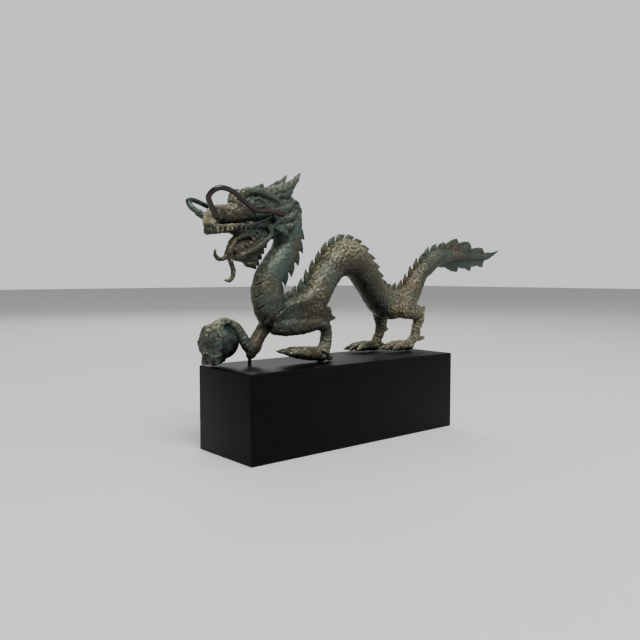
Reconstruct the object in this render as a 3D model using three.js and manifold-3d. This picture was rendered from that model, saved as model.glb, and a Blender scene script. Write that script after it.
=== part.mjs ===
// A cast dragon on a block plinth, in millimetres with +Z up. The origin is the centre of the plinth's
// underside, the dragon faces -X and its left side is towards -Y.
import * as THREE from "three";
import { LoftGeometry } from "three/addons/geometries/LoftGeometry.js";
import { mergeVertices, toCreasedNormals } from "three/addons/utils/BufferGeometryUtils.js";
import Module from "manifold-3d";

const kernel = await Module();
kernel.setup();

// Driving sizes.
const plinthLength = 200;
const plinthWidth = 66;
const plinthHeight = 61;
const plinthEase = 1.2; // chamfer on every edge of the plinth
const figureHeight = 137; // from the soles of the feet to the tips of the horns
const standGap = 0.3; // between the feet and the plinth
const whiskerRoot = 4; // thickness of a whisker rod where it leaves the nose
const whiskerEnd = 3; // and at its far end
const socketDepth = 4.5; // how far a rod goes into the nose
const socketClearance = 0.3; // round and past each rod in the casting
const pinDiameter = 2.6; // mounting pin under the right elbow
const pinInPlinth = 14;
const pinInElbow = 5;
const pinClearance = 0.3;

// The figure is drawn standing on height 0 and is carried to its own size, on top of the plinth.
const drawnHeight = 137;
const figureScale = figureHeight / drawnHeight;
const soleHeight = plinthHeight + standGap;
const place = (x, y, z) =>
  new THREE.Vector3(x * figureScale, y * figureScale, soleHeight + z * figureScale);

// Turns a closed geometry into a solid, without the triangles that a pointed end collapses.
function solidOf(geometry) {
  const plain = new THREE.BufferGeometry();
  const loose = geometry.index ? geometry.toNonIndexed() : geometry;
  plain.setAttribute("position", loose.getAttribute("position"));
  const merged = mergeVertices(plain, 1e-4);
  const corners = [];
  for (let i = 0; i < merged.index.count; i += 3) {
    const [a, b, c] = [0, 1, 2].map((k) => merged.index.getX(i + k));
    if (a !== b && b !== c && c !== a) corners.push(a, b, c);
  }
  return new kernel.Manifold(
    new kernel.Mesh({
      numProp: 3,
      vertProperties: merged.attributes.position.array,
      triVerts: new Uint32Array(corners),
    }),
  );
}

// Skins closed rings into a capped solid, whichever way round the rings were drawn.
function loft(rings) {
  const middleOf = (ring) =>
    ring.reduce((sum, point) => sum.add(point), new THREE.Vector3()).divideScalar(ring.length);
  const start = middleOf(rings[0]);
  const turn = new THREE.Vector3();
  rings[0].forEach((point, i, ring) => {
    const next = ring[(i + 1) % ring.length];
    turn.add(point.clone().sub(start).cross(next.clone().sub(start)));
  });
  const outward = turn.dot(middleOf(rings[1]).sub(start)) > 0;
  const sections = outward ? rings : rings.map((ring) => [...ring].reverse());
  const last = rings.at(-1);
  const pointed = last[0].distanceTo(last[1]) < 1e-6;
  return solidOf(new LoftGeometry(sections, { capStart: true, capEnd: !pointed }));
}

const join = (solids) => kernel.Manifold.union(solids);
const largest = (solid) =>
  solid.decompose().reduce((kept, body) => (body.volume() > kept.volume() ? body : kept));

function geometryOf(solid, crease = Math.PI / 6) {
  const mesh = solid.getMesh();
  const geometry = new THREE.BufferGeometry();
  geometry.setAttribute("position", new THREE.BufferAttribute(mesh.vertProperties, 3));
  geometry.setIndex(new THREE.BufferAttribute(mesh.triVerts, 1));
  return toCreasedNormals(geometry, crease);
}

// A smooth line through stations [x, y, height, half width, half depth]. at(t) gives the centre there, the
// direction of travel, the way across (nearest to `side`), the way out over the back, and both half sizes.
function spineOf(stations, side = [0, 1, 0]) {
  const path = new THREE.CatmullRomCurve3(
    stations.map(([x, y, z]) => place(x, y, z)),
    false,
    "centripetal",
  );
  const sizes = new THREE.CatmullRomCurve3(
    stations.map(([, , , width, depth = width]) => new THREE.Vector3(width, depth, 0)),
    false,
    "catmullrom",
    0.5,
  );
  const wanted = new THREE.Vector3(...side);
  const at = (t) => {
    const along = path.getTangent(t);
    const back = along.clone().cross(wanted).normalize();
    const across = back.clone().cross(along);
    const size = sizes.getPoint(t).max(new THREE.Vector3(0.25, 0.25, 0)).multiplyScalar(figureScale);
    return { centre: path.getPoint(t), along, across, back, width: size.x, depth: size.y };
  };
  return { path, at };
}

const roundSection = () => 1;

// Carries a closed section along a spine. relief(angle, t) swells or sinks it, with angle 0 on the back.
function limb(stations, { sides = 8, steps = stations.length * 2, side, relief = roundSection } = {}) {
  const spine = spineOf(stations, side);
  const sections = [];
  for (let i = 0; i <= steps; i++) {
    const t = i / steps;
    const { centre, across, back, width, depth } = spine.at(t);
    const ring = [];
    for (let k = 0; k < sides; k++) {
      const angle = (k / sides) * Math.PI * 2;
      const swell = relief(angle, t);
      ring.push(
        centre
          .clone()
          .addScaledVector(back, Math.cos(angle) * depth * swell)
          .addScaledVector(across, -Math.sin(angle) * width * swell),
      );
    }
    sections.push(ring);
  }
  return loft(sections);
}

// An egg-shaped swelling of the casting.
function lump(x, y, z, lengthwise, across, upright = across, detail = 8) {
  const ball = new THREE.SphereGeometry(1, detail, detail - 2);
  ball.scale(lengthwise * figureScale, across * figureScale, upright * figureScale);
  const { x: px, y: py, z: pz } = place(x, y, z);
  return solidOf(ball.translate(px, py, pz));
}

// A flat flame-shaped lobe that swells from its root and runs out to a point.
function flame(root, middle, tip, breadth, thickness) {
  return limb(
    [
      [...root, thickness * 0.8, breadth * 0.7],
      [...middle, thickness, breadth],
      [...tip, 0.3, 0.3],
    ],
    { sides: 4, steps: 3 },
  );
}

// A thin skin between two lines of points, thickest along its base and with a thin far edge.
function fin(base, edge, thickness, edgeThickness) {
  const rings = base.map((foot, i) => {
    const middle = foot.clone().lerp(edge[i], 0.5);
    return [
      [foot, thickness],
      [middle, thickness * 0.8],
      [edge[i], edgeThickness],
      [edge[i], -edgeThickness],
      [middle, -thickness * 0.8],
      [foot, -thickness],
    ].map(([point, aside]) => point.clone().add(new THREE.Vector3(0, aside * figureScale, 0)));
  });
  return loft(rings);
}

// BODY: from inside the head, down the neck, up over the arch, through the hips and along the tail.
const bodyStations = [
  [-46, 0, 112, 8],
  [-44.2, 0, 104.8, 9.6],
  [-45, 0, 95, 10.1],
  [-45.5, 0, 87, 10.1],
  [-48.7, 0, 79, 10.2],
  [-56.3, 0, 69.7, 10.3],
  [-62.5, 0, 61.1, 10.3],
  [-64.3, 0, 52.7, 10.6],
  [-63.1, 0, 44.9, 11],
  [-58.3, 0, 36.2, 11.5],
  [-47.5, 1, 32.6, 12.6],
  [-33.2, 3, 36.6, 12.6],
  [-19.3, 3, 46.9, 12.4],
  [-9.9, 3, 60.2, 11.8],
  [-3.4, 3, 67.8, 11.9],
  [1.9, 3, 73, 13],
  [11.5, 3, 77.2, 14.3],
  [22, 3, 75, 13.7],
  [28.3, 3, 70.7, 12.3],
  [34.1, 3, 64.8, 12],
  [41.4, 4, 56.3, 11.3],
  [48, 5, 48.6, 11],
  [60.8, 8, 40.8, 12],
  [72.7, 8, 38.8, 12.2],
  [84.9, 8, 42.7, 11.1],
  [91.3, 8, 46.9, 10],
  [98.5, 8, 56.2, 8.5],
  [105.1, 8, 64.9, 7.4],
  [114.2, 8, 71.5, 7.6],
  [122.2, 8, 77.3, 7.8],
  [135.2, 8, 80.1, 7],
  [153.3, 8, 81.2, 5],
  [175.1, 8, 81.2, 3.6],
  [193.3, 8, 81, 2.6],
  [205, 8, 83, 1.8],
];
const ridge = (angle) => (angle === 0 ? 1.07 : 1);
const body = limb(bodyStations, { sides: 12, steps: 46, relief: ridge });

// The saw-toothed crest down the back, between two shares of the spine: points a pitch apart along the ridge,
// each leaning towards the tail, rooted inside the body.
const crestPitch = 9;
const crestHeight = 5.6;
const crestThickness = 3;
function crest(from, to) {
  const spine = spineOf(bodyStations);
  const samples = 900;
  const points = [];
  let walked = crestPitch * figureScale;
  let last = null;
  for (let i = Math.round(from * samples); i <= to * samples; i++) {
    const { centre, along, back, depth } = spine.at(i / samples);
    const foot = centre.addScaledVector(back, depth);
    if (last) walked += foot.distanceTo(last);
    if (walked >= crestPitch * figureScale) {
      points.push({ foot, along, back, flank: back.clone().cross(along) });
      walked = 0;
    }
    last = foot;
  }
  const rings = points.flatMap(({ foot, along, back, flank }) => {
    // the points are lower over the top of the arch
    const rise = crestHeight * (1 - 0.45 * Math.exp(-(((foot.x / figureScale - 12) / 18) ** 2)));
    return [
      [-0.45, -0.45, 0.25, 0.8],
      [0.2, 0.44, 1, 1],
    ].map(([shift, lean, share, thick]) => {
      const root = foot.clone().addScaledVector(along, shift * crestPitch * figureScale);
      const tip = foot
        .clone()
        .addScaledVector(along, lean * crestPitch * figureScale)
        .addScaledVector(back, share * rise * figureScale);
      const wide = (crestThickness / 2) * thick * figureScale;
      root.addScaledVector(back, -2.2 * figureScale);
      return [root.clone().addScaledVector(flank, wide), tip, root.clone().addScaledVector(flank, -wide)];
    });
  });
  return loft(rings);
}

// TAIL: a flame-edged leaf round the core, with its lobes swept back and one long point. A station is x and
// the heights of its upper and lower edges; a lobe's tip and the notch behind it are close together.
const tailLeaf = [
  [127, 88.6, 71.4],
  [137, 93.6, 70.6],
  [139.6, 91.4, 70.4],
  [155.6, 97.6, 66.4],
  [158.6, 92.6, 70.6],
  [168, 95, 69.6],
  [175, 93.8, 67.2],
  [177.6, 88.6, 71.8],
  [185, 89.4, 72.4],
  [194, 89.4, 71.2],
  [196.6, 84.6, 77.4],
  [208, 85.4, 81],
  [219.6, 88, 87],
];
const tailThickness = 4.4;
// The height of the leaf's middle, where it is thickest.
const tailCoreAt = (x) => {
  const sag = x < 200 ? (x - 127) * 0.06 : 0;
  return THREE.MathUtils.mapLinear(x, 127, 219.6, 79.4, 87.5) - sag;
};
const tailFin = loft(
  tailLeaf.map(([x, upper, lower]) => {
      const core = THREE.MathUtils.clamp(tailCoreAt(x), lower + 0.3, upper - 0.3);
      const half = (tailThickness / 2) * THREE.MathUtils.mapLinear(x, 127, 219.6, 1, 0.25);
      return [
        [0, upper],
        [half * 0.7, (upper * 1.2 + core) / 2.2],
        [half, core],
        [half * 0.7, (lower * 1.2 + core) / 2.2],
        [0, lower],
        [-half * 0.7, (lower * 1.2 + core) / 2.2],
        [-half, core],
        [-half * 0.7, (upper * 1.2 + core) / 2.2],
      ].map(([aside, z]) => place(x, 8 + aside, z));
    }),
);

// HEAD. The stations run from the nose to the back of the skull; each side gets the same carving.
const skull = limb(
  [
    [-113.6, 0, 99.6, 2.6, 2.8],
    [-110.4, 0, 100, 5.4, 5.2],
    [-104.6, 0, 103, 6, 5.4],
    [-97, 0, 104.2, 6.8, 6],
    [-90, 0, 106, 8.2, 7.4],
    [-84.4, 0, 109.6, 9.8, 11],
    [-76, 0, 111, 10.6, 12.4],
    [-65, 0, 111.6, 11, 13.2],
    [-53, 0, 111.6, 11, 12],
    [-42, 0, 109.6, 8.8, 9],
    [-34.6, 0, 108, 4, 5],
  ],
  { sides: 10, steps: 10 },
);
const upperJaw = limb(
  [
    [-112.4, 0, 93.8, 3.4, 3.6],
    [-108, 0, 94.4, 5.8, 3.8],
    [-96, 0, 96, 7, 3.6],
    [-80, 0, 98.8, 8.6, 4],
    [-60, 0, 99.4, 9, 6],
  ],
  { sides: 8, steps: 6 },
);
const lowerJaw = limb(
  [
    [-58, 0, 97, 7.8, 5.6],
    [-68, 0, 90.6, 7.4, 5.8],
    [-76, 0, 84, 7.2, 6.2],
    [-83.4, 0, 78.6, 6.4, 5.4],
    [-88.6, 0, 76.2, 4.8, 3.6],
    [-91, 0, 75.8, 2.4, 2.2],
  ],
  { sides: 8, steps: 7 },
);
// The beard hangs in one thick sheet from the underside of the lower jaw to the tuft on the chin.
const beard = loft(
  [
    [-61.5, 91, 96],
    [-66.8, 87.2, 94],
    [-69, 84, 92],
    [-71, 80, 88],
    [-72.2, 75.4, 85],
    [-73, 67.8, 81],
    [-80, 69.2, 77],
    [-85, 73.6, 77],
  ].map(([x, low, high], i) => {
    const half = 5.6 - 0.4 * i;
    return [
      place(x, half * 0.5, low),
      place(x - 2, half, (low + high) / 2),
      place(x - 5, half, high),
      place(x - 5, -half, high),
      place(x - 2, -half, (low + high) / 2),
      place(x, -half * 0.5, low),
    ];
  }),
);
const noseTip = lump(-109.2, 0, 100.2, 5, 6.2, 5.2);

// Teeth stand along both edges of a jaw: from a front point back to a hinge point, pointing down or up.
function teeth(front, back, halfFront, halfBack, count, drop) {
  const row = [];
  for (const hand of [-1, 1])
    for (let i = 0; i < count; i++) {
      const share = i / (count - 1);
      const x = THREE.MathUtils.lerp(front[0], back[0], share);
      const z = THREE.MathUtils.lerp(front[1], back[1], share);
      const y = hand * THREE.MathUtils.lerp(halfFront, halfBack, Math.sqrt(share));
      const length = drop[2] * (i === 1 ? 1.35 : 1);
      const tip = [x + drop[0] * length, y * 0.94, z + drop[1] * length];
      row.push(
        limb(
          [
            [x, y, z, 1.5, 1.9],
            [...tip, 0.6, 0.6],
          ],
          { sides: 4, steps: 1 },
        ),
      );
    }
  return row;
}

// A curl of hair or flesh laid on one side of the head, through [x, distance out, height] points.
function curl(hand, points, thick, steps = 4, sides = 4) {
  const last = points.length - 1;
  return limb(
    points.map(([x, out, z], i) => {
      const size = i === last ? 0.4 : thick * (1 - 0.35 * (i / last));
      return [x, out * hand, z, size * 0.8, size];
    }),
    { sides, steps },
  );
}

function headSide(hand) {
  return [
    // brow and eye
    curl(hand, [[-89, 6, 111], [-87, 7, 119], [-78, 9.6, 120.4], [-66, 10.8, 117], [-58, 11, 112]], 3.2, 5),
    lump(-76.4, 9.2 * hand, 112.4, 3.2, 2.8, 2.8, 6),
    // lip that runs back from the nose and up under the cheek
    curl(
      hand,
      [[-108, 5, 97.4], [-95, 7.2, 98.4], [-80, 9, 99.8], [-68, 10.4, 104], [-60, 10.4, 110]],
      1.9,
      5,
    ),
    // horn, swept back and up, with a second point under it
    limb(
      [
        [-76, 6 * hand, 116, 3.4, 3.6],
        [-66, 7 * hand, 120.4, 3.4, 3.6],
        [-54, 8 * hand, 124, 3, 3.6],
        [-45.6, 8.2 * hand, 129.4, 2, 2.4],
        [-39.6, 8 * hand, 136.4, 0.6, 0.6],
      ],
      { sides: 5, steps: 5 },
    ),
    flame([-62, 8.4 * hand, 117], [-52, 9 * hand, 121], [-45.4, 9 * hand, 126], 3.4, 2.4),
    // locks of the mane behind the cheek
    curl(hand, [[-66, 9.6, 106], [-55, 11.6, 110], [-45, 10, 116.6]], 3.6, 3),
    curl(hand, [[-64, 9.6, 102], [-53, 11.8, 104], [-42, 9, 110.6]], 3.6, 3),
    curl(hand, [[-60, 9, 98], [-51, 11, 98], [-42, 8.6, 103]], 3.2, 3),
    curl(hand, [[-64, 8.6, 99], [-56, 10.6, 94], [-50, 8.6, 89.4]], 3.2, 3),
    // cheek roll from the corner of the mouth along the lower jaw
    curl(hand, [[-68, 9.4, 98.6], [-66.6, 9.6, 92], [-74, 8.6, 85], [-82, 7, 79.6], [-88, 4.4, 77]], 2.1, 5),
  ];
}

const tongue = [
  // the floor of the mouth, between the tongue and the lower jaw
  limb(
    [
      [-70, 0, 88, 4, 4],
      [-80, 0, 84.6, 4.4, 4.4],
      [-88, 0, 82.4, 3.8, 4.4],
      [-91.4, 0, 81.4, 2.4, 3],
    ],
    { sides: 6, steps: 4 },
  ),
  limb(
    [
      [-68, 0, 94, 5, 4.4],
      [-78, 0, 91.6, 5.6, 4],
      [-86, 0, 90.6, 5, 3],
      [-91.4, 0, 86.4, 3.8, 2.4],
      [-94.2, 0, 81.6, 3.2, 2.2],
      [-96, 0, 77.4, 2.6, 2],
    ],
    { sides: 6, steps: 6 },
  ),
  limb(
    [
      [-95, 0, 78.6, 2, 1.9],
      [-98.6, 0, 75, 1.7, 1.6],
      [-103.6, -1, 74.4, 1.6, 1.5],
      [-107, -2, 77.2, 1.5, 1.4],
      [-107.6, -3, 81, 0.9, 0.9],
    ],
    { sides: 5, steps: 6 },
  ),
  limb(
    [
      [-95.4, 0, 78, 2, 1.9],
      [-93.6, 0, 72.8, 1.8, 1.7],
      [-91.2, 1, 68.4, 1.7, 1.6],
      [-91, 1.6, 63, 1.6, 1.5],
      [-93.6, 2, 59.8, 1.5, 1.4],
      [-97, 2.4, 60.4, 0.9, 0.9],
    ],
    { sides: 5, steps: 6 },
  ),
];
const head = [
  skull,
  upperJaw,
  lowerJaw,
  noseTip,
  beard,
  flame([-78, 0, 116], [-71.4, 0, 121.4], [-66, 0, 127.6], 4.4, 2.6),
  flame([-70, 0, 117], [-60, 0, 122], [-53, 0, 131], 4.4, 2.6),
  ...headSide(-1),
  ...headSide(1),
  ...teeth([-108.6, 95.4], [-84, 98.2], 3.2, 7.4, 6, [0, -1, 3.8]),
  ...teeth([-87, 77], [-71, 89], 3.2, 7, 5, [-0.62, 0.78, 4]),
  ...tongue,
];

// LEGS. A foot spreads toes from a pad; headings are turns from straight ahead, -X. A toe's profile is its
// height and half thickness at even shares of its length.
function foot({ pad, toes, length, profile }) {
  const [x, y] = pad;
  return [
    lump(x, y, 4.2, 6.4, 5, 4.2),
    ...toes.map((turn) => {
      const stations = profile.map(([height, size], i) => {
        const reach = (length * i) / (profile.length - 1);
        return [x - Math.cos(turn) * reach, y + Math.sin(turn) * reach, height, size, size * 0.9];
      });
      return limb(stations, { sides: 5, steps: 4 });
    }),
  ];
}
const raisedToes = [[5.6, 5], [6.2, 4.9], [7.3, 4.4], [8.6, 3.2], [9.2, 0.6]];
const flatToes = [[4.4, 3.8], [4.8, 3.8], [4.8, 3.5], [4, 2.6], [2.4, 0.5]];

const nearFore = [
  limb(
    [
      [-62, -4, 28.6, 6.6, 7],
      [-54, -7.6, 28, 6.4, 7.4],
      [-44, -9.4, 27.6, 6, 7],
      [-33, -9.8, 28.2, 5.4, 6],
      [-23.5, -9.6, 28.6, 4.8, 5.2],
      [-17.4, -9.4, 25.4, 4.5, 4.7],
      [-16.2, -9.4, 19.6, 4.3, 4.4],
      [-17.4, -9.4, 12, 4.2, 4.2],
      [-20.4, -9.6, 6, 4.4, 4.2],
    ],
    { sides: 8, steps: 11 },
  ),
  ...foot({ pad: [-22, -9.6], toes: [-0.2, 0, 0.2], length: 36, profile: raisedToes }),
  lump(-14.2, -10, 3.2, 3.2, 2.8, 3.1, 6),
];
// Feathered fin along the top of an upper arm: its ribs sweep back and end in points at the elbow.
const armFinRibs = 6;
function armFin(hand, y) {
  const base = new THREE.CatmullRomCurve3([
    place(-64, (y - 4) * hand, 31),
    place(-52, (y - 2) * hand, 32),
    place(-38, (y - 1) * hand, 32),
    place(-24, (y - 1) * hand, 31),
    place(-17, (y - 1) * hand, 29),
  ]);
  const edge = new THREE.CatmullRomCurve3([
    place(-65, (y - 2) * hand, 34.5),
    place(-58, y * hand, 40),
    place(-47, (y + 1) * hand, 45),
    place(-36, (y + 1) * hand, 46),
    place(-26, (y + 1) * hand, 44.4),
    place(-17, (y + 1) * hand, 40.6),
    place(-9.4, (y + 1) * hand, 32),
  ]);
  const steps = armFinRibs * 2;
  const feet = [];
  const tips = [];
  for (let i = 0; i <= steps; i++) {
    const share = i / steps;
    const foot = base.getPointAt(share);
    // nearly whole along the top, deeply cut towards the elbow
    const notch = i % 2 ? 1 - 0.34 * share ** 4 : 1 + 0.04 * share;
    feet.push(foot);
    tips.push(foot.clone().lerp(edge.getPointAt(share), notch));
  }
  return fin(feet, tips, 1.7, 0.5);
}

// The right forepaw is raised on a pearl, with the elbow low on the plinth side.
const pearl = { x: -91.6, y: 16, z: 17.2, radius: 12.6 };
const farFore = [
  limb(
    [
      [-54, 4, 31, 7, 7],
      [-61, 6, 26.4, 5.2, 5.4],
      [-66, 7, 19.4, 4.7, 4.9],
      [-70.4, 7.4, 12.4, 5.4, 5.6],
      [-73, 7.4, 6.4, 3.4, 3.4],
      [-73.6, 7.4, 4.4, 2, 2],
    ],
    { sides: 8, steps: 9 },
  ),
  limb(
    [
      [-70.6, 7.6, 10, 4.8, 4.8],
      [-75.6, 8.6, 15, 4.2, 4.2],
      [-79, 10.6, 21.6, 4, 4],
      [-83, 13.4, 27.6, 4.4, 3.8],
      [-89.4, 15.6, 30.6, 5.4, 3.4],
      [-96, 17.4, 29.4, 4.8, 3.2],
    ],
    { sides: 7, steps: 8 },
  ),
  lump(pearl.x, pearl.y, pearl.z, pearl.radius, pearl.radius, pearl.radius, 10),
];
const fingers = [
  [128, 150, 3.6],
  [153, 152, 4.2],
  [178, 152, 4.4],
  [203, 150, 4.4],
  [226, 142, 4],
  [64, 112, 3],
].map(([turn, sweep, thick]) => {
  const heading = THREE.MathUtils.degToRad(turn);
  const across = [-Math.sin(heading), Math.cos(heading), 0];
  const stations = [0.1, 0.32, 0.56, 0.78, 1].map((share, i) => {
    const down = THREE.MathUtils.degToRad(Math.min(sweep * share, 118));
    const past = Math.max(sweep * share - 118, 0) * 0.28;
    const reach = pearl.radius + [0, 0.2, 0.4, 0.8, 1.4][i];
    const size = [0.9, 1.1, 1, 0.85, 0.3][i] * thick;
    return [
      pearl.x + Math.cos(heading) * Math.sin(down) * reach,
      pearl.y + Math.sin(heading) * Math.sin(down) * reach,
      Math.max(pearl.z + Math.cos(down) * reach - past, 0.8),
      size,
      size * 0.8,
    ];
  });
  return limb(stations, { sides: 5, steps: 6, side: across });
});

const nearHind = [
  limb(
    [
      [66, 4, 40, 8, 9],
      [77, 1.6, 36.6, 7.4, 9],
      [88, 0.8, 33.6, 6, 7.6],
      [96, 1, 30.6, 5, 5.8],
      [97.4, 1.4, 25, 4.4, 5],
      [95.2, 2, 18.6, 3.9, 4.2],
      [94, 2, 12.6, 3.9, 4.2],
      [88, 2, 7.4, 4.2, 3.6],
      [80, 2, 4.6, 4.2, 3.6],
    ],
    { sides: 8, steps: 11 },
  ),
  flame([96, 1, 30], [101, 1, 33.6], [105, 1, 37.6], 3, 2.4),
  flame([92, 2, 10], [99.6, 2, 9.4], [106.6, 2, 9.8], 2.4, 2.2),
  ...foot({ pad: [84, 2], toes: [-0.3, 0, 0.3], length: 27, profile: flatToes }),
];
const farHind = [
  limb(
    [
      [62, 13, 38, 6.6, 8],
      [67, 17, 30, 6, 6.6],
      [68.6, 18, 23, 4.8, 5.2],
      [68, 18, 17.6, 4.2, 4.6],
      [65, 18, 11.6, 3.8, 4],
      [61, 18, 6, 4.2, 3.8],
    ],
    { sides: 8, steps: 10 },
  ),
  flame([66, 18, 19], [72, 18, 17.8], [77.6, 18, 17.6], 3, 2.4),
  flame([62, 18, 7], [68, 18, 5], [74, 18, 4.4], 2.4, 2.2),
  ...foot({ pad: [60, 18], toes: [-0.28, 0, 0.28], length: 28.5, profile: flatToes }),
];

// WHISKERS: bent rods set in the nose and swept back along the head, thicker at the root. A line starts where
// the rod leaves the nose.
const nearWhiskerLine = [
  [-108.8, -6.2, 102.2],
  [-114.2, -8.5, 109.7],
  [-117, -11, 113.8],
  [-115.5, -14, 117.6],
  [-111.4, -16, 119.6],
  [-106.7, -17, 119.2],
  [-100.5, -17, 116.8],
  [-94.7, -16.5, 113.2],
  [-88.5, -15.8, 109.6],
  [-82.3, -15.2, 106.8],
  [-75.6, -15, 107.4],
  [-65.6, -14.6, 106.8],
  [-56, -12, 105.2],
];
const farWhiskerLine = [
  [-111.2, 4.9, 102.8],
  [-115.2, 7, 105.8],
  [-118.2, 9, 108.7],
  [-119.4, 11, 111.6],
  [-118, 13, 113.4],
  [-114.8, 14.5, 114],
  [-110.8, 15.5, 113.6],
  [-106, 16, 112.2],
  [-99, 16, 109.8],
  [-91, 15.8, 107.8],
  [-80, 15.4, 107],
  [-66, 14.6, 106.8],
  [-56, 12, 105.2],
];
function whisker(line, grow = 0, sides = 7) {
  const last = line.length - 1;
  const stations = line.map(([x, y, z], i) => {
    const thick = THREE.MathUtils.lerp(whiskerRoot, whiskerEnd, i / last);
    return [x, y, z, (thick / 2 + grow) / figureScale];
  });
  // a station further out along the line that runs from the second given one through the first
  const beyond = ([x, y, z, size], from, distance) => {
    const reach = distance / figureScale;
    const ahead = new THREE.Vector3(x, y, z).sub(new THREE.Vector3(...from.slice(0, 3))).setLength(reach);
    return [x + ahead.x, y + ahead.y, z + ahead.z, size];
  };
  const inNose = beyond(stations[0], stations[1], socketDepth + grow);
  if (grow > 0) stations[last] = beyond(stations[last], stations[last - 1], grow);
  return limb([inNose, ...stations], { sides, steps: 20, side: [0.3, 1, 0.2] });
}

// Mounting pin under the right elbow, in a blind hole in the plinth and another in the elbow.
const pinFoot = place(-73.6, 7.4, 0);
const elbowHeight = 2.6 * figureScale;
function pinSolid(grow = 0) {
  const length = pinInPlinth + standGap + elbowHeight + pinInElbow + 2 * grow;
  const rod = new THREE.CylinderGeometry(pinDiameter / 2 + grow, pinDiameter / 2 + grow, length, 12);
  rod.rotateX(Math.PI / 2);
  rod.translate(pinFoot.x, pinFoot.y, plinthHeight - pinInPlinth - grow + length / 2);
  return solidOf(rod);
}

// PLINTH: a block with every edge eased.
function easedBlock(length, width, height, ease) {
  const outline = (cut) => {
    const [a, b] = [length / 2 - cut, width / 2 - cut];
    return [
      [a, -b + ease],
      [a, b - ease],
      [a - ease, b],
      [-a + ease, b],
      [-a, b - ease],
      [-a, -b + ease],
      [-a + ease, -b],
      [a - ease, -b],
    ];
  };
  const layers = [
    [0, ease],
    [ease, 0],
    [height - ease, 0],
    [height, ease],
  ];
  const sections = layers.map(([z, cut]) => outline(cut).map(([x, y]) => new THREE.Vector3(x, y, z)));
  return loft(sections);
}
const plinth = easedBlock(plinthLength, plinthWidth, plinthHeight, plinthEase).subtract(
  pinSolid(pinClearance),
);

const belowSoles = new THREE.BoxGeometry(plinthLength * 2, plinthLength, 40);
belowSoles.translate(0, 0, soleHeight - 20);

const dragon = largest(join([
  body,
  crest(0.06, 0.85),
  tailFin,
  ...head,
  ...nearFore,
  armFin(-1, 13),
  ...farFore,
  ...fingers,
  armFin(1, 12),
  ...nearHind,
  ...farHind,
])
  .subtract(solidOf(belowSoles))
  .subtract(whisker(nearWhiskerLine, socketClearance))
  .subtract(whisker(farWhiskerLine, socketClearance))
  .subtract(pinSolid(pinClearance))
  .simplify(0.3));

const bronze = new THREE.MeshStandardMaterial({ color: 0x46524a, roughness: 0.72, metalness: 0.55 });
const greenBronze = new THREE.MeshStandardMaterial({ color: 0x3f5a50, roughness: 0.66, metalness: 0.5 });
const brownBronze = new THREE.MeshStandardMaterial({ color: 0x3a211c, roughness: 0.42, metalness: 0.6 });
const darkSteel = new THREE.MeshStandardMaterial({ color: 0x161513, roughness: 0.5, metalness: 0.7 });
const blackWood = new THREE.MeshStandardMaterial({ color: 0x0e0f10, roughness: 0.5, metalness: 0 });

const group = new THREE.Group();
for (const [name, solid, material] of [
  ["plinth", plinth, blackWood],
  ["dragon", dragon, bronze],
  ["whisker_left", whisker(nearWhiskerLine), brownBronze],
  ["whisker_right", whisker(farWhiskerLine), greenBronze],
  ["mounting_pin", pinSolid(), darkSteel],
]) {
  const mesh = new THREE.Mesh(geometryOf(solid), material);
  mesh.name = name;
  group.add(mesh);
}

export default group;
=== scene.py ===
"""A patinated cast-bronze dragon on a black block plinth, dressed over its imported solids."""

import logging
import math
from collections.abc import Callable, Sequence
from dataclasses import dataclass
from enum import Enum

import bmesh
import bpy
import numpy as np
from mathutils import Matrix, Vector, noise


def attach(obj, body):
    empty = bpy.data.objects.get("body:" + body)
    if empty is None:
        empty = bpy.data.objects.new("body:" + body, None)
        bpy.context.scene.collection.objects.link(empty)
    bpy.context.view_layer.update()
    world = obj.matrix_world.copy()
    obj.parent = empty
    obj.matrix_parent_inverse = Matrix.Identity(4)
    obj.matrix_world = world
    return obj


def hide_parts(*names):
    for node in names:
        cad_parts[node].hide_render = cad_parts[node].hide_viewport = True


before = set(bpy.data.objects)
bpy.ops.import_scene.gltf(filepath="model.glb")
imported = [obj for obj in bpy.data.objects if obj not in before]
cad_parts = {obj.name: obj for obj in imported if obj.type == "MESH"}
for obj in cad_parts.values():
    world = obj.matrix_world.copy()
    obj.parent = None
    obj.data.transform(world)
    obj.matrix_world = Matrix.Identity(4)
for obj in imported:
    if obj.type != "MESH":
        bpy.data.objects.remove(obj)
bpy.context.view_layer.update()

log = logging.getLogger("dragon")

MM = 0.001
PLINTH_TOP = 61.0
SOLE = PLINTH_TOP + 0.3  # the soles' height; the heights of the figure's stations start here
TURN = math.tau
THINNEST = 0.25  # mm, the smallest half size of a section
WELD = 2e-7  # metres, under which two points of a skin are one

Array = np.ndarray
Station = Sequence[float]
Relief = Callable[["Frames", Array], Array]
Socket = bpy.types.NodeSocket


class Side(Enum):
    """The two sides of the dragon: its left, towards the camera, and its right."""

    NEAR = -1
    FAR = 1


# ---- lines and skins


@dataclass
class Frames:
    """Samples along a spine, in millimetres: where it is, its directions and its half sizes."""

    centre: Array
    along: Array
    back: Array
    across: Array
    width: Array
    depth: Array
    walked: Array


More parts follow.
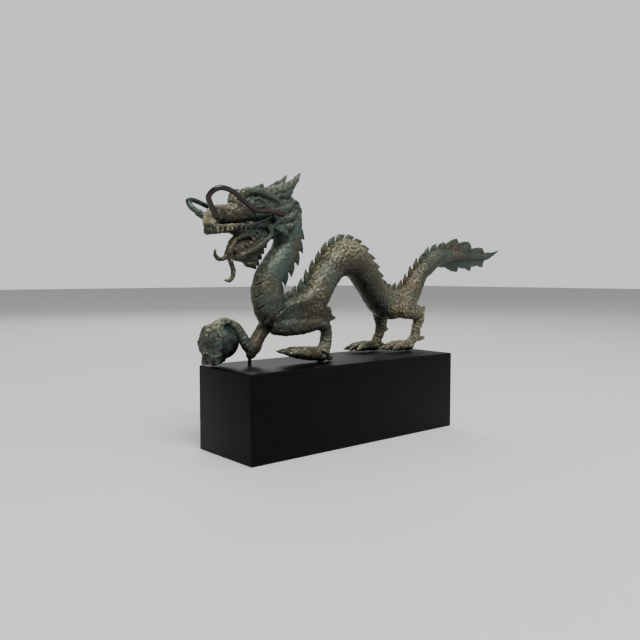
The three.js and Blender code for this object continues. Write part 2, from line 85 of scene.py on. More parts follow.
class Spine:
    """A smooth line through stations of x, y, height, half width and half depth."""

    def __init__(self, stations: Sequence[Station], side: Station = (0.0, 1.0, 0.0)) -> None:
        """Reads the stations.

        Args:
            stations: x, y and height above the soles, then one or two half sizes, in mm.
            side: the direction that the section's width keeps nearest to.
        """
        table = np.array([[*row, row[3]] if len(row) == 4 else list(row) for row in stations], float)
        self.points = table[:, :3] + np.array([0.0, 0.0, SOLE])
        self.sizes = table[:, 3:5]
        self.side = np.array(side, float)

    @staticmethod
    def _cubic(values: Array, share: Array, even: bool) -> tuple[Array, Array]:
        """Runs a Catmull-Rom curve through values.

        Args:
            values: the values at the stations.
            share: places along the curve, from 0 to 1.
            even: whether the stations count as evenly spaced.

        Returns:
            The values there and their rate of change.
        """
        last = len(values) - 1
        place = np.clip(share, 0, 1) * last
        index = np.minimum(place.astype(int), last - 1)
        w = (place - index)[:, None]
        before, after = 2 * values[0] - values[1], 2 * values[-1] - values[-2]
        padded = np.vstack([before, values, after])
        x0, x1, x2, x3 = (padded[index + k] for k in range(4))
        if even:
            start, end = 0.5 * (x2 - x0), 0.5 * (x3 - x1)
        else:
            pairs = ((x0, x1), (x1, x2), (x2, x3))
            d0, d1, d2 = (np.sqrt(np.linalg.norm(b - a, axis=1))[:, None] for a, b in pairs)
            start = ((x1 - x0) / d0 - (x2 - x0) / (d0 + d1) + (x2 - x1) / d1) * d1
            end = ((x2 - x1) / d1 - (x3 - x1) / (d1 + d2) + (x3 - x2) / d2) * d1
        c2 = 3 * (x2 - x1) - 2 * start - end
        c3 = 2 * (x1 - x2) + start + end
        return x1 + start * w + c2 * w**2 + c3 * w**3, start + 2 * c2 * w + 3 * c3 * w**2

    def sample(self, share: Array) -> Frames:
        """Gives the frames at some shares of the spine.

        Args:
            share: places along the spine, from 0 to 1.

        Returns:
            The frames, in millimetres.
        """
        centre, rate = self._cubic(self.points, share, even=False)
        along = rate / np.linalg.norm(rate, axis=1)[:, None]
        back = np.cross(along, self.side)
        back /= np.linalg.norm(back, axis=1)[:, None]
        across = np.cross(back, along)
        sizes = np.maximum(self._cubic(self.sizes, share, even=True)[0], THINNEST)
        steps = np.linalg.norm(np.diff(centre, axis=0), axis=1)
        walked = np.concatenate([[0.0], np.cumsum(steps)])
        return Frames(centre, along, back, across, sizes[:, 0], sizes[:, 1], walked)


def ramp(value: Array, start: float, end: float) -> Array:
    """Eases from 0 where a value is at start to 1 where it is at end, which may be the lower one."""
    held = np.clip((value - start) / (end - start), 0, 1)
    return held * held * (3 - 2 * held)


def bell(value: Array, centre: float, width: float) -> Array:
    """Gives a hump that is 1 where a value is at centre and fades over width on both sides."""
    return np.exp(-(((value - centre) / width) ** 2))


def add_skin(target: bmesh.types.BMesh, points: Array) -> None:
    """Adds a grid of points to a mesh as a closed skin.

    Args:
        target: the mesh that it is added to.
        points: rings of points in millimetres, each with its last point on its first.
    """
    rows, columns = points.shape[:2]
    sheet = bmesh.new()
    bmesh.ops.create_grid(sheet, x_segments=columns - 1, y_segments=rows - 1, size=1.0)
    for vert in sheet.verts:
        column = round((vert.co.x + 1) / 2 * (columns - 1))
        row = round((vert.co.y + 1) / 2 * (rows - 1))
        vert.co = Vector(points[row, column]) * MM
    bmesh.ops.remove_doubles(sheet, verts=sheet.verts, dist=WELD)
    rims = [edge for edge in sheet.edges if edge.is_boundary]
    bmesh.ops.holes_fill(sheet, edges=rims, sides=0)
    bmesh.ops.recalc_face_normals(sheet, faces=sheet.faces)
    spare = bpy.data.meshes.new("sheet")
    sheet.to_mesh(spare)
    sheet.free()
    target.from_mesh(spare)
    bpy.data.meshes.remove(spare)


def add_limb(
    target: bmesh.types.BMesh,
    stations: Sequence[Station],
    sides: int = 20,
    steps: int = 24,
    side: Station = (0.0, 1.0, 0.0),
    relief: Relief | None = None,
) -> None:
    """Adds a limb: a section carried along a spine, with its carving.

    Args:
        target: the mesh that it is added to.
        stations: the spine's stations.
        sides: points round the section.
        steps: sections along the limb.
        side: the direction that the section's width keeps nearest to.
        relief: gives the height of the carving, in millimetres, at each frame and angle.
    """
    frames = Spine(stations, side).sample(np.linspace(0, 1, steps + 1))
    angle = np.linspace(0, TURN, sides + 1)
    lift = relief(frames, angle) if relief else np.zeros((steps + 1, sides + 1))
    lift[:, -1] = lift[:, 0]
    out = ((frames.depth[:, None] + lift) * np.cos(angle))[..., None]
    aside = ((frames.width[:, None] + lift) * np.sin(angle))[..., None]
    points = frames.centre[:, None] + frames.back[:, None] * out - frames.across[:, None] * aside
    points[:, -1] = points[:, 0]
    add_skin(target, points)


def add_lump(target: bmesh.types.BMesh, centre: Station, radii: Station, detail: int = 24) -> None:
    """Adds an egg-shaped swelling.

    Args:
        target: the mesh that it is added to.
        centre: x, y and height above the soles, in mm.
        radii: its half sizes along x, y and z, in mm.
        detail: segments round it.
    """
    made = bmesh.ops.create_uvsphere(target, u_segments=detail, v_segments=detail // 2, radius=1.0)
    bmesh.ops.scale(target, verts=made["verts"], vec=Vector(radii) * MM)
    place = Vector((centre[0], centre[1], centre[2] + SOLE)) * MM
    bmesh.ops.translate(target, verts=made["verts"], vec=place)


# ---- carving


def scale_height(u: Array, v: Array) -> Array:
    """Gives the height of overlapping scales, whose free edges face rising u.

    Args:
        u: rows counted along the body.
        v: scales counted round the body.

    Returns:
        Heights from 0 in the gaps to 1 on the free edges.
    """
    half_width, longest = 0.62, 1.5
    height = np.zeros_like(u)
    covered = np.zeros(u.shape, bool)
    for behind in (1, 0):
        row = np.floor(u) - behind
        along = u - row
        aside = v - 0.5 * (row % 2)
        aside = (aside - np.round(aside)) / half_width
        reach = longest * np.sqrt(np.clip(1 - aside**2, 0, 1))
        here = (along < reach) & ~covered
        crown = (1 - 0.8 * aside**2) * ramp(reach - along, 0, 0.2)
        height = np.where(here, (0.25 + 0.75 * along / longest) * crown, height)
        covered |= here
    return height


def ripple(u: Array, v: Array, seed: int) -> Array:
    """Gives a slow, uneven ripple between about -1 and 1 over a carving's rows and columns.

    Args:
        u: rows counted along the body.
        v: scales counted round the body.
        seed: which ripple.

    Returns:
        One number per place.
    """
    waves, fastest, usual_sum = 7, 0.9, 3.2
    random = np.random.default_rng(seed)
    total = np.zeros_like(u)
    for _ in range(waves):
        du, dv = random.uniform(-fastest, fastest, 2)
        total += np.sin(u * du + v * dv + random.uniform(0, TURN))
    return total / usual_sum


def scales(count: int, height: float, stretch: float = 0.8) -> Relief:
    """Makes the carving of a scaled limb.

    Args:
        count: scales round the limb.
        height: height of a scale's free edge, in mm.
        stretch: a row's length as a share of a scale's width.

    Returns:
        The carving.
    """

    def carve(frames: Frames, angle: Array) -> Array:
        """Gives the scales' height over a limb.

        Args:
            frames: the limb's frames.
            angle: angles round its section.

        Returns:
            The height, in mm.
        """
        girth = TURN * (frames.width + frames.depth) / 2
        steps = np.diff(frames.walked, prepend=0.0)
        rows = np.cumsum(steps / (stretch * girth / count))
        u, v = np.meshgrid(rows + 40, angle / TURN * count, indexing="ij")
        # the rows wander and wear unevenly, but not where the section's two ends meet
        loose = np.sin(v / count * math.pi) ** 0.5
        loose_u = u + 0.28 * ripple(u, v, count) * loose
        loose_v = v + 0.2 * ripple(u, v, count + 1) * loose
        wear = np.clip(0.75 + 0.45 * ripple(u * 0.5, v * 0.5, count + 2) * loose, 0.25, 1.15)
        return (scale_height(loose_u, loose_v) - 0.45) * height * wear

    return carve


def bands(spacing: float, height: float) -> Relief:
    """Makes the carving of rounded rings across a limb.

    Args:
        spacing: from ring to ring, in mm.
        height: depth of the grooves between them, in mm.

    Returns:
        The carving.
    """

    def carve(frames: Frames, angle: Array) -> Array:
        """Gives the rings' height over a limb.

        Args:
            frames: the limb's frames.
            angle: angles round its section.

        Returns:
            The height, in mm.
        """
        bend = 0.12 * np.cos(angle)[None, :]
        phase = frames.walked[:, None] / spacing + bend
        return (np.abs(np.sin(phase * math.pi)) ** 0.6 - 0.6) * height

    return carve


def grooves(count: int, height: float, twist: float = 0.0) -> Relief:
    """Makes the carving of strands along a limb.

    Args:
        count: strands round the limb.
        height: depth of the grooves between them, in mm.
        twist: turns that the strands make over the limb.

    Returns:
        The carving.
    """

    def carve(frames: Frames, angle: Array) -> Array:
        """Gives the strands' height over a limb.

        Args:
            frames: the limb's frames.
            angle: angles round its section.

        Returns:
            The height, in mm.
        """
        share = frames.walked / max(frames.walked[-1], 1e-6)
        phase = angle[None, :] * count / 2 + share[:, None] * twist * math.pi
        fade = np.minimum(1, (frames.width + frames.depth) / 4)[:, None]
        return (np.abs(np.cos(phase)) ** 0.7 - 0.6) * height * fade

    return carve


def trunk_carving(frames: Frames, angle: Array) -> Array:
    """Carves the trunk: scales over back and flanks, and low curved plates down throat and chest.

    Args:
        frames: the trunk's frames.
        angle: angles round its section, with the throat and belly at half a turn.

    Returns:
        The carving's height, in mm.
    """
    x, z = frames.centre[:, 0], frames.centre[:, 2] - SOLE
    worn_neck, strands = ramp(x, -30, -42)[:, None], ramp(x, -20, 0)[:, None]
    back = scales(20, 0.5)(frames, angle) * (1 - 0.45 * worn_neck)
    back += grooves(26, 0.22, 5)(frames, angle) * strands
    plate_length, plate_height, half_angle, soft_edge = 6.2, 1.35, 0.7, 0.16
    turn = np.abs(angle - math.pi)[None, :]
    phase = frames.walked[:, None] / plate_length + 0.3 * (turn / half_angle) ** 2
    part = phase - np.floor(phase)
    lens = 0.35 + 0.65 * bell(turn, 0.3, 0.32)
    plates = (ramp(part, 0, 0.3) * (1 - 0.25 * part) - 0.75) * plate_height * lens
    chest, belly = ramp(z, 62, 56) * (x < -40), 0.35 * (x > -40)
    share = np.maximum(chest, belly)[:, None] * ramp(turn, half_angle + soft_edge, half_angle)
    return (plates * share + back * (1 - share)) * ramp(frames.width, 0, 6)[:, None]


# ---- meshes


def finish_mesh(name: str, source: bmesh.types.BMesh) -> bpy.types.Object:
    """Turns a bmesh into a piece with smooth faces.

    Args:
        name: the piece's name.
        source: its mesh, which is freed.

    Returns:
        The piece.
    """
    bmesh.ops.recalc_face_normals(source, faces=source.faces)
    mesh = bpy.data.meshes.new(name)
    source.to_mesh(mesh)
    source.free()
    mesh.shade_smooth()
    piece = bpy.data.objects.new(name, mesh)
    bpy.context.scene.collection.objects.link(piece)
    return piece


def bake_modifiers(piece: bpy.types.Object) -> None:
    """Applies a piece's modifiers to its mesh.

    Args:
        piece: the piece.
    """
    graph = bpy.context.evaluated_depsgraph_get()
    baked = bpy.data.meshes.new_from_object(piece.evaluated_get(graph))
    old = piece.data
    baked.name = old.name
    piece.modifiers.clear()
    piece.data = baked
    bpy.data.meshes.remove(old)
    baked.shade_smooth()


def melt(piece: bpy.types.Object, voxel: float) -> None:
    """Runs a piece's parts into one skin, as in the wax before casting.

    Args:
        piece: the piece.
        voxel: the finest detail that stays, in mm.
    """
    remesh = piece.modifiers.new("one_skin", "REMESH")
    remesh.mode = "VOXEL"
    remesh.voxel_size = voxel * MM
    remesh.adaptivity = 0.0
    bake_modifiers(piece)


class Surface:
    """Reads and moves the vertices of a piece as arrays, in millimetres."""

    def __init__(self, piece: bpy.types.Object) -> None:
        """Reads the piece's mesh.

        Args:
            piece: the piece.
        """
        self.mesh = piece.data
        count = len(self.mesh.vertices)
        self.place = np.zeros(count * 3, np.float32)
        self.mesh.vertices.foreach_get("co", self.place)
        self.place = self.place.reshape(-1, 3).astype(float) / MM
        self.normal = np.zeros(count * 3, np.float32)
        self.mesh.vertex_normals.foreach_get("vector", self.normal)
        self.normal = self.normal.reshape(-1, 3).astype(float)
        edges = np.zeros(len(self.mesh.edges) * 2, np.int32)
        self.mesh.edges.foreach_get("vertices", edges)
        self.edges = edges.reshape(-1, 2)
        self.degree = np.maximum(np.bincount(edges, minlength=count), 1).astype(float)

    def spread(self, values: Array, rounds: int) -> Array:
        """Averages values over neighbouring vertices.

        Args:
            values: one row per vertex.
            rounds: how many times.

        Returns:
            The averaged values.
        """
        first, second = self.edges.T
        held = values.reshape(len(values), -1).copy()
        for _ in range(rounds):
            total = np.empty_like(held)
            for column in range(held.shape[1]):
                total[:, column] = np.bincount(first, held[second, column], len(held))
                total[:, column] += np.bincount(second, held[first, column], len(held))
            held = 0.5 * held + 0.5 * total / self.degree[:, None]
        return held.reshape(values.shape)

    def write(self) -> None:
        """Puts the moved vertices back into the mesh."""
        self.mesh.vertices.foreach_set("co", (self.place * MM).astype(np.float32).ravel())
        self.mesh.update()

    def keep(self, name: str, values: Array) -> None:
        """Stores one number per vertex for the materials."""
        attribute = self.mesh.attributes.new(name, "FLOAT", "POINT")
        attribute.data.foreach_set("value", values.astype(np.float32))

    def dent(self, centre: Station, radius: float, depth: float) -> None:
        """Presses a round hollow into the surface, or raises it where depth is below 0.

        Args:
            centre: x, y and height above the soles, in mm.
            radius: its radius, in mm.
            depth: its depth, in mm.
        """
        away = np.linalg.norm(self.place - (np.array(centre) + (0, 0, SOLE)), axis=1)
        self.place -= self.normal * (depth * bell(away, 0, radius))[:, None]

    def proud(self, reach: int) -> Array:
        """Gives how far each vertex stands out of its surroundings, in mm.

        Args:
            reach: how wide they are, in rounds of averaging.
        """
        return np.einsum("ij,ij->i", self.place - self.spread(self.place, reach), self.normal)


def cast_noise(place: Array, size: float, seed: int) -> Array:
    """Gives an uneven field such as sand-cast skin has, between about -1 and 1.

    Args:
        place: points in millimetres.
        size: rough size of its features, in mm.
        seed: which field.

    Returns:
        One number per point.
    """
    smoothness, gap, octaves = 0.7, 2.1, 4
    shift = Vector((seed * 17.3, seed * 5.1, -seed * 9.7))
    points = (Vector(point) + shift for point in place / size)
    return np.array([noise.fractal(point, smoothness, gap, octaves) for point in points])


def blotches(place: Array, size: float, seed: int) -> Array:
    """Gives soft patches of irregular shape, from 0 to 1.

    Args:
        place: points in millimetres.
        size: rough size of a patch, in mm.
        seed: which set of patches.

    Returns:
        One number per point.
    """
    return ramp(0.85 * cast_noise(place, size, seed), -0.5, 0.5)


def weather(piece: bpy.types.Object, layers: Sequence[tuple[float, float]]) -> None:
    """Makes a piece's surface uneven, as a worn casting is.

    Args:
        piece: the piece.
        layers: the size and height of each layer of bumps, in mm.
    """
    surface = Surface(piece)
    for seed, (size, height) in enumerate(layers):
        surface.place += surface.normal * (cast_noise(surface.place, size, seed + 11) * height)[:, None]
    surface.place[:, 2] = np.maximum(surface.place[:, 2], SOLE)
    surface.write()


# brown patches: x, y and height of their middle and their radius, in mm
RUST = ((27, 3, 83, 9), (91, 8, 57, 10), (-39, -12, 8, 11), (-67, 3, 15, 6), (150, 6, 86, 7))


def regions(place: Array) -> dict[str, Array]:
    """Gives soft masks of the parts of the figure whose patina differs, some of which carry painted highlight
    or painted shade.

    Args:
        place: points in millimetres, with their height above the soles.

    Returns:
        Values from 0 to 1, by the region's name.
    """
    x, y, z = place.T
    lower_neck = (0.45 + 0.55 * bell(z, 67, 10)) * (np.abs(y) < 12)
    return {
        "neck": bell(x, -56, 16) * ramp(z, 34, 44) * ramp(z, 104, 90) * lower_neck,
        "jowl": 0.75 * ramp(x, -90, -80) * ramp(x, -30, -38) * ramp(z, 88, 94),
        # the muzzle, the arch and the wrist below get painted highlight along with the pale dust
        "muzzle": ramp(x, -84, -92) * ramp(z, 92, 98),
        "arch": bell(x, 8, 34) * ramp(z, 40, 70) + 0.8 * bell(x, 76, 24),
        "tail": ramp(x, 104, 118),
        "arm": ramp(x, -70, -64) * ramp(x, -6, -12) * ramp(z, 49, 46) * (z > 19) * (np.abs(y) > 6),
        "elbow": bell(x, -64, 8) * ramp(y, 1, 4) * ramp(z, 34, 30) * (z > 12),
        "haunch": ramp(x, 52, 62) * ramp(x, 106, 98) * ramp(z, 52, 42) * (y < 14),
        "wrist": ramp(x, -80, -86) * ramp(z, 24, 31) * (z < 40),
        "fingers": ramp(x, -84, -88) * ramp(z, 26, 20),
        "grip": 0.9 * bell(x, -92, 17.32) * ramp(z, 34, 24),
    }


def patina(piece: bpy.types.Object, reach: int = 8, relief: float = 0.22, dust_and_highlight_share: float = 1.0) -> None:
    """Stores where the patina lies: in recesses, on worn edges, and in coloured patches; also where painted
    shade darkens downward faces and the arms, and where painted highlight joins the pale dust on upward
    faces.

    Args:
        piece: the piece.
        reach: how wide the recesses are that it looks for, in rounds of averaging.
        relief: the height that counts as fully raised, in mm.
        dust_and_highlight_share: how much of the pale dust and painted highlight it holds.
    """
    surface = Surface(piece)
    place = surface.place - (0, 0, SOLE)
    part, up = regions(place), surface.normal[:, 2]
    surface.keep("proud", np.clip(0.5 + surface.proud(reach) / relief * 0.5, 0, 1))
    rust = sum(bell(np.linalg.norm(place - (a, b, c), axis=1), 0, size) for a, b, c, size in RUST)
    spots = ramp(blotches(surface.place, 20, 3), 0.66, 0.88)
    surface.keep("brown", np.clip(1.2 * rust + 0.35 * spots, 0, 1) * (1 - 0.8 * part["neck"]))
    green = 0.5 * ramp(blotches(surface.place, 26, 8), 0.5, 0.8)
    green += part["neck"] + 0.45 * part["tail"] + part["grip"] + part["jowl"]
    surface.keep("teal", np.clip(green, 0, 1))
    patches = blotches(surface.place, 12, 5)
    # upward faces, and the arch, muzzle and wrist, are lightened: partly pale dust, partly painted highlight
    pale = 0.11 + 0.5 * part["arch"] + 0.42 * part["muzzle"] + 0.5 * part["wrist"] + 0.7 * patches
    dust_and_painted_highlight = ramp(up, -0.35, 0.75) * np.clip(pale, 0, 1) * dust_and_highlight_share
    dust_and_painted_highlight *= (1 - 0.3 * part["arm"]) * (1 - 0.6 * part["fingers"]) * (1 - 0.45 * part["tail"])
    dust_and_painted_highlight = np.maximum(dust_and_painted_highlight, np.maximum(part["haunch"], part["elbow"]) * (0.55 + 0.5 * patches))
    surface.keep("dust_and_painted_highlight", dust_and_painted_highlight * (1 - 0.35 * part["jowl"]) * (1 - 0.7 * part["neck"]))
    # painted shade: downward faces, and the upper arms lying under their fins, take the dark hollow colour
    surface.keep("under", np.clip(ramp(-up, 0.05, 0.75) + 0.5 * part["arm"], 0, 1))
    if "rubbed" not in surface.mesh.attributes:
        surface.keep("rubbed", np.zeros(len(place)))


# ---- finishes


def linear(code: str) -> tuple[float, float, float, float]:
    """Turns an sRGB hex colour into a linear one.

    Args:
        code: six hex digits.

    Returns:
        Red, green, blue and alpha.
    """
    parts = [int(code[i : i + 2], 16) / 255 for i in (0, 2, 4)]
    lit = [p / 12.92 if p <= 0.04045 else ((p + 0.055) / 1.055) ** 2.4 for p in parts]
    return (lit[0], lit[1], lit[2], 1.0)


def add_node(
    tree: bpy.types.NodeTree,
    kind: str,
    inputs: dict[int | str, Socket | Station | float | str] | None = None,
    **settings: object,
) -> bpy.types.Node:
    """Adds one node with its settings and links.

    Args:
        tree: the node tree.
        kind: the node's type, without the ShaderNode that it begins with.
        inputs: what its inputs get, by name or number: a socket, a value, or a colour's hex code.
        settings: its own properties.

    Returns:
        The node.
    """
    node = tree.nodes.new("ShaderNode" + kind)
    for name, value in settings.items():
        setattr(node, name, value)
    for key, value in (inputs or {}).items():
        if isinstance(value, bpy.types.NodeSocket):
            tree.links.new(value, node.inputs[key])
        else:
            node.inputs[key].default_value = linear(value) if isinstance(value, str) else value
    return node


def new_material(name: str) -> tuple[bpy.types.Material, bpy.types.NodeTree, Socket]:
    """Starts a material.

    Args:
        name: its name.

    Returns:
        The material, its node tree, and the object's own coordinates in it.
    """
    material = bpy.data.materials.new(name)
    material.use_nodes = True
    tree = material.node_tree
    tree.nodes.clear()
    return material, tree, add_node(tree, "TexCoord").outputs["Object"]


def per_mm(size: float) -> float:
    """Gives the scale of a pattern whose features are size millimetres across."""
    return 1.0 / (size * MM)


# the numbers of sockets: a map range node's inputs, and the colours of a mix node
VALUE, START, END, LEAST, MOST = range(5)
SHARE, UNDER, OVER, MIXED = 0, 6, 7, 2


@dataclass(frozen=True)
class PatinatedBronze:
    """Cast bronze with a green and brown patina: matt in the hollows, half polished on the edges, with
    painted shade below and painted highlight on top.
    """

    name: str = "patinated_cast_bronze"
    # the dark patina of the recesses, also laid as painted shade on downward faces and the arms
    hollow: str = "060706"
    ground: str = "333429"
    teal: str = "34453f"
    brown: str = "3d2c20"
    # pale dust, also laid as painted highlight on upward, raised faces
    dust_and_painted_highlight: str = "979070"
    worn: str = "b0a98a"
    rubbed: str = "b4ac8e"
    # the sizes of the patterns' features, in mm
    grain: float = 0.9
    speckle: float = 2.2
    mottle: float = 3.4
    stain: float = 6.5
    shade: float = 7.5
    metallic: float = 0.25
    shine: float = 0.36
    polished: float = 0.33
    matt: float = 0.64

    def build(self) -> bpy.types.Material:
        """Makes the material: colours laid over each other, each through masks and patterns.

        Returns:
            The material.
        """
        material, tree, where = new_material(self.name)
        masks = {
            name: add_node(tree, "Attribute", attribute_name=name).outputs["Fac"]
            for name in ("proud", "teal", "brown", "dust_and_painted_highlight", "under", "rubbed")
        }
        patterns = {}
        for name, size, detail, rough in (
            ("shade", self.shade, 5, 0.7),
            ("stain", self.stain, 5, 0.7),
            ("mottle", self.mottle, 5, 0.65),
            ("speckle", self.speckle, 6, 0.75),
            ("grain", self.grain, 4, 0.6),
        ):
            inputs = {"Vector": where, "Scale": per_mm(size), "Detail": detail, "Roughness": rough}
            patterns[name] = add_node(tree, "TexNoise", inputs).outputs["Fac"]
        proud, mottle = masks["proud"], patterns["mottle"]
        colour = self.ground
        for tone, share, eased in (
            (self.hollow, None, [(patterns["shade"], 0.56, 0.72)]),
            (self.teal, masks["teal"], [(mottle, 0.25, 0.52)]),
            (self.brown, masks["brown"], [(patterns["stain"], 0.36, 0.56)]),
            # pale dust and painted highlight on raised, upward faces
            (self.dust_and_painted_highlight, masks["dust_and_painted_highlight"], [(proud, 0.34, 0.66), (patterns["speckle"], 0.4, 0.6)]),
            (self.hollow, None, [(proud, 0.48, 0.15)]),
            # painted shade on downward faces and the arms
            (self.hollow, masks["under"], [(mottle, 0.75, 0.3)]),
            (self.worn, None, [(proud, 0.72, 1.0), (mottle, 0.42, 0.7)]),
            (self.rubbed, masks["rubbed"], []),
        ):
            cover = share
            for value, start, end in eased:
                limits = {VALUE: value, START: start, END: end}
                part = add_node(tree, "MapRange", limits, interpolation_type="SMOOTHSTEP").outputs[0]
                if cover is None:
                    cover = part
                else:
                    cover = add_node(tree, "Math", {0: cover, 1: part}, operation="MULTIPLY").outputs[0]
            layers = {SHARE: cover, UNDER: colour, OVER: tone}
            colour = add_node(tree, "Mix", layers, data_type="RGBA").outputs[MIXED]
        limits = {VALUE: mottle, START: 0.3, END: 0.7, LEAST: self.polished, MOST: self.matt}
        rough = add_node(tree, "MapRange", limits)
        bump = add_node(tree, "Bump", {"Height": patterns["grain"], "Strength": 0.6, "Distance": 0.3 * MM})
        inputs = {"Base Color": colour, "Roughness": rough.outputs[0], "Normal": bump.outputs[0]}
        inputs |= {"Metallic": self.metallic, "Specular IOR Level": self.shine}
        shader = add_node(tree, "BsdfPrincipled", inputs)
        add_node(tree, "OutputMaterial", {"Surface": shader.outputs[0]})
        return material


@dataclass(frozen=True)
class SmoothMetal:
    """A drawn rod, a pin or a rubbed ball: one tone with faint streaks of another, half gloss."""

    name: str
    tone: str
    streak: str
    grain: float = 1.4
    roughness: float = 0.36
    metallic: float = 0.55

    def build(self) -> bpy.types.Material:
        """Makes the material.

        Returns:
            The material.
        """
        material, tree, where = new_material(self.name)
        noise = {"Vector": where, "Scale": per_mm(self.grain), "Detail": 5.0}
        streaks = add_node(tree, "TexNoise", noise).outputs[0]
        share = add_node(tree, "MapRange", {VALUE: streaks, START: 0.42, END: 0.7})
        layers = {SHARE: share.outputs[0], UNDER: self.tone, OVER: self.streak}
        colour = add_node(tree, "Mix", layers, data_type="RGBA")
        limits = {VALUE: streaks, LEAST: self.roughness - 0.08, MOST: self.roughness + 0.14}
        rough = add_node(tree, "MapRange", limits)
        bump = add_node(tree, "Bump", {"Height": streaks, "Strength": 0.2, "Distance": 0.1 * MM})
        inputs = {"Base Color": colour.outputs[MIXED], "Roughness": rough.outputs[0]}
        inputs |= {"Metallic": self.metallic, "Normal": bump.outputs[0]}
        shader = add_node(tree, "BsdfPrincipled", inputs)
        add_node(tree, "OutputMaterial", {"Surface": shader.outputs[0]})
        return material


@dataclass(frozen=True)
class BlackPaintedWood:
    """Satin black paint on wood: near black, with a faint grain brushed along the block."""

    name: str = "satin_black_painted_wood"
    paint: str = "020203"
    haze: str = "08090a"
    shine: float = 0.1
    # the brush's streaks are this wide, in mm, and this many times longer
    streak: float = 0.7
    stretch: float = 40.0
    cloud: float = 24.0

    def build(self) -> bpy.types.Material:
        """Makes the material.

        Returns:
            The material.
        """
        material, tree, where = new_material(self.name)
        along = add_node(tree, "Mapping", {0: where, "Scale": (1 / self.stretch, 1.0, 1.0)}).outputs[0]
        noise = {"Vector": along, "Scale": per_mm(self.streak), "Detail": 3.0}
        streaks = add_node(tree, "TexNoise", noise).outputs[0]
        noise = {"Vector": where, "Scale": per_mm(self.cloud), "Detail": 4.0}
        cloud = add_node(tree, "TexNoise", noise).outputs[0]
        limits = {VALUE: cloud, START: 0.35, END: 0.75, LEAST: 0.05, MOST: 0.6}
        share = add_node(tree, "MapRange", limits)
        layers = {SHARE: share.outputs[0], UNDER: self.paint, OVER: self.haze}
        colour = add_node(tree, "Mix", layers, data_type="RGBA")
        rough = add_node(tree, "MapRange", {VALUE: streaks, LEAST: 0.34, MOST: 0.5})
        bump = add_node(tree, "Bump", {"Height": streaks, "Strength": 0.12, "Distance": 0.06 * MM})
        inputs = {"Base Color": colour.outputs[MIXED], "Roughness": rough.outputs[0]}
        inputs |= {"Specular IOR Level": self.shine, "Normal": bump.outputs[0]}
        shader = add_node(tree, "BsdfPrincipled", inputs)
        add_node(tree, "OutputMaterial", {"Surface": shader.outputs[0]})
        return material


@dataclass(frozen=True)
class StagePaper:
    """The plain pale sheet that the object stands on: matt paper."""

    name: str = "pale_paper"
    tone: str = "dcdad5"

    def build(self) -> bpy.types.Material:
        """Makes the material.

        Returns:
            The material.
        """
        material, tree, _ = new_material(self.name)
        shader = add_node(tree, "BsdfPrincipled", {"Base Color": self.tone, "Roughness": 0.9})
        add_node(tree, "OutputMaterial", {"Surface": shader.outputs[0]})
        return material


def dress(piece: bpy.types.Object, material: bpy.types.Material, slot: str, *nodes: str) -> None:
    """Gives a piece its finish and its place in the model.

    Args:
        piece: the piece.
        material: its finish.
        slot: the record's slot that the finish stands for; not used.
        nodes: the solids that it stands for.
    """
    piece.data.materials.clear()
    piece.data.materials.append(material)
    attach(piece, "root")
    for node in nodes:
        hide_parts(node)
    log.info("%s: %d faces", piece.name, len(piece.data.polygons))


# ---- the sculpture


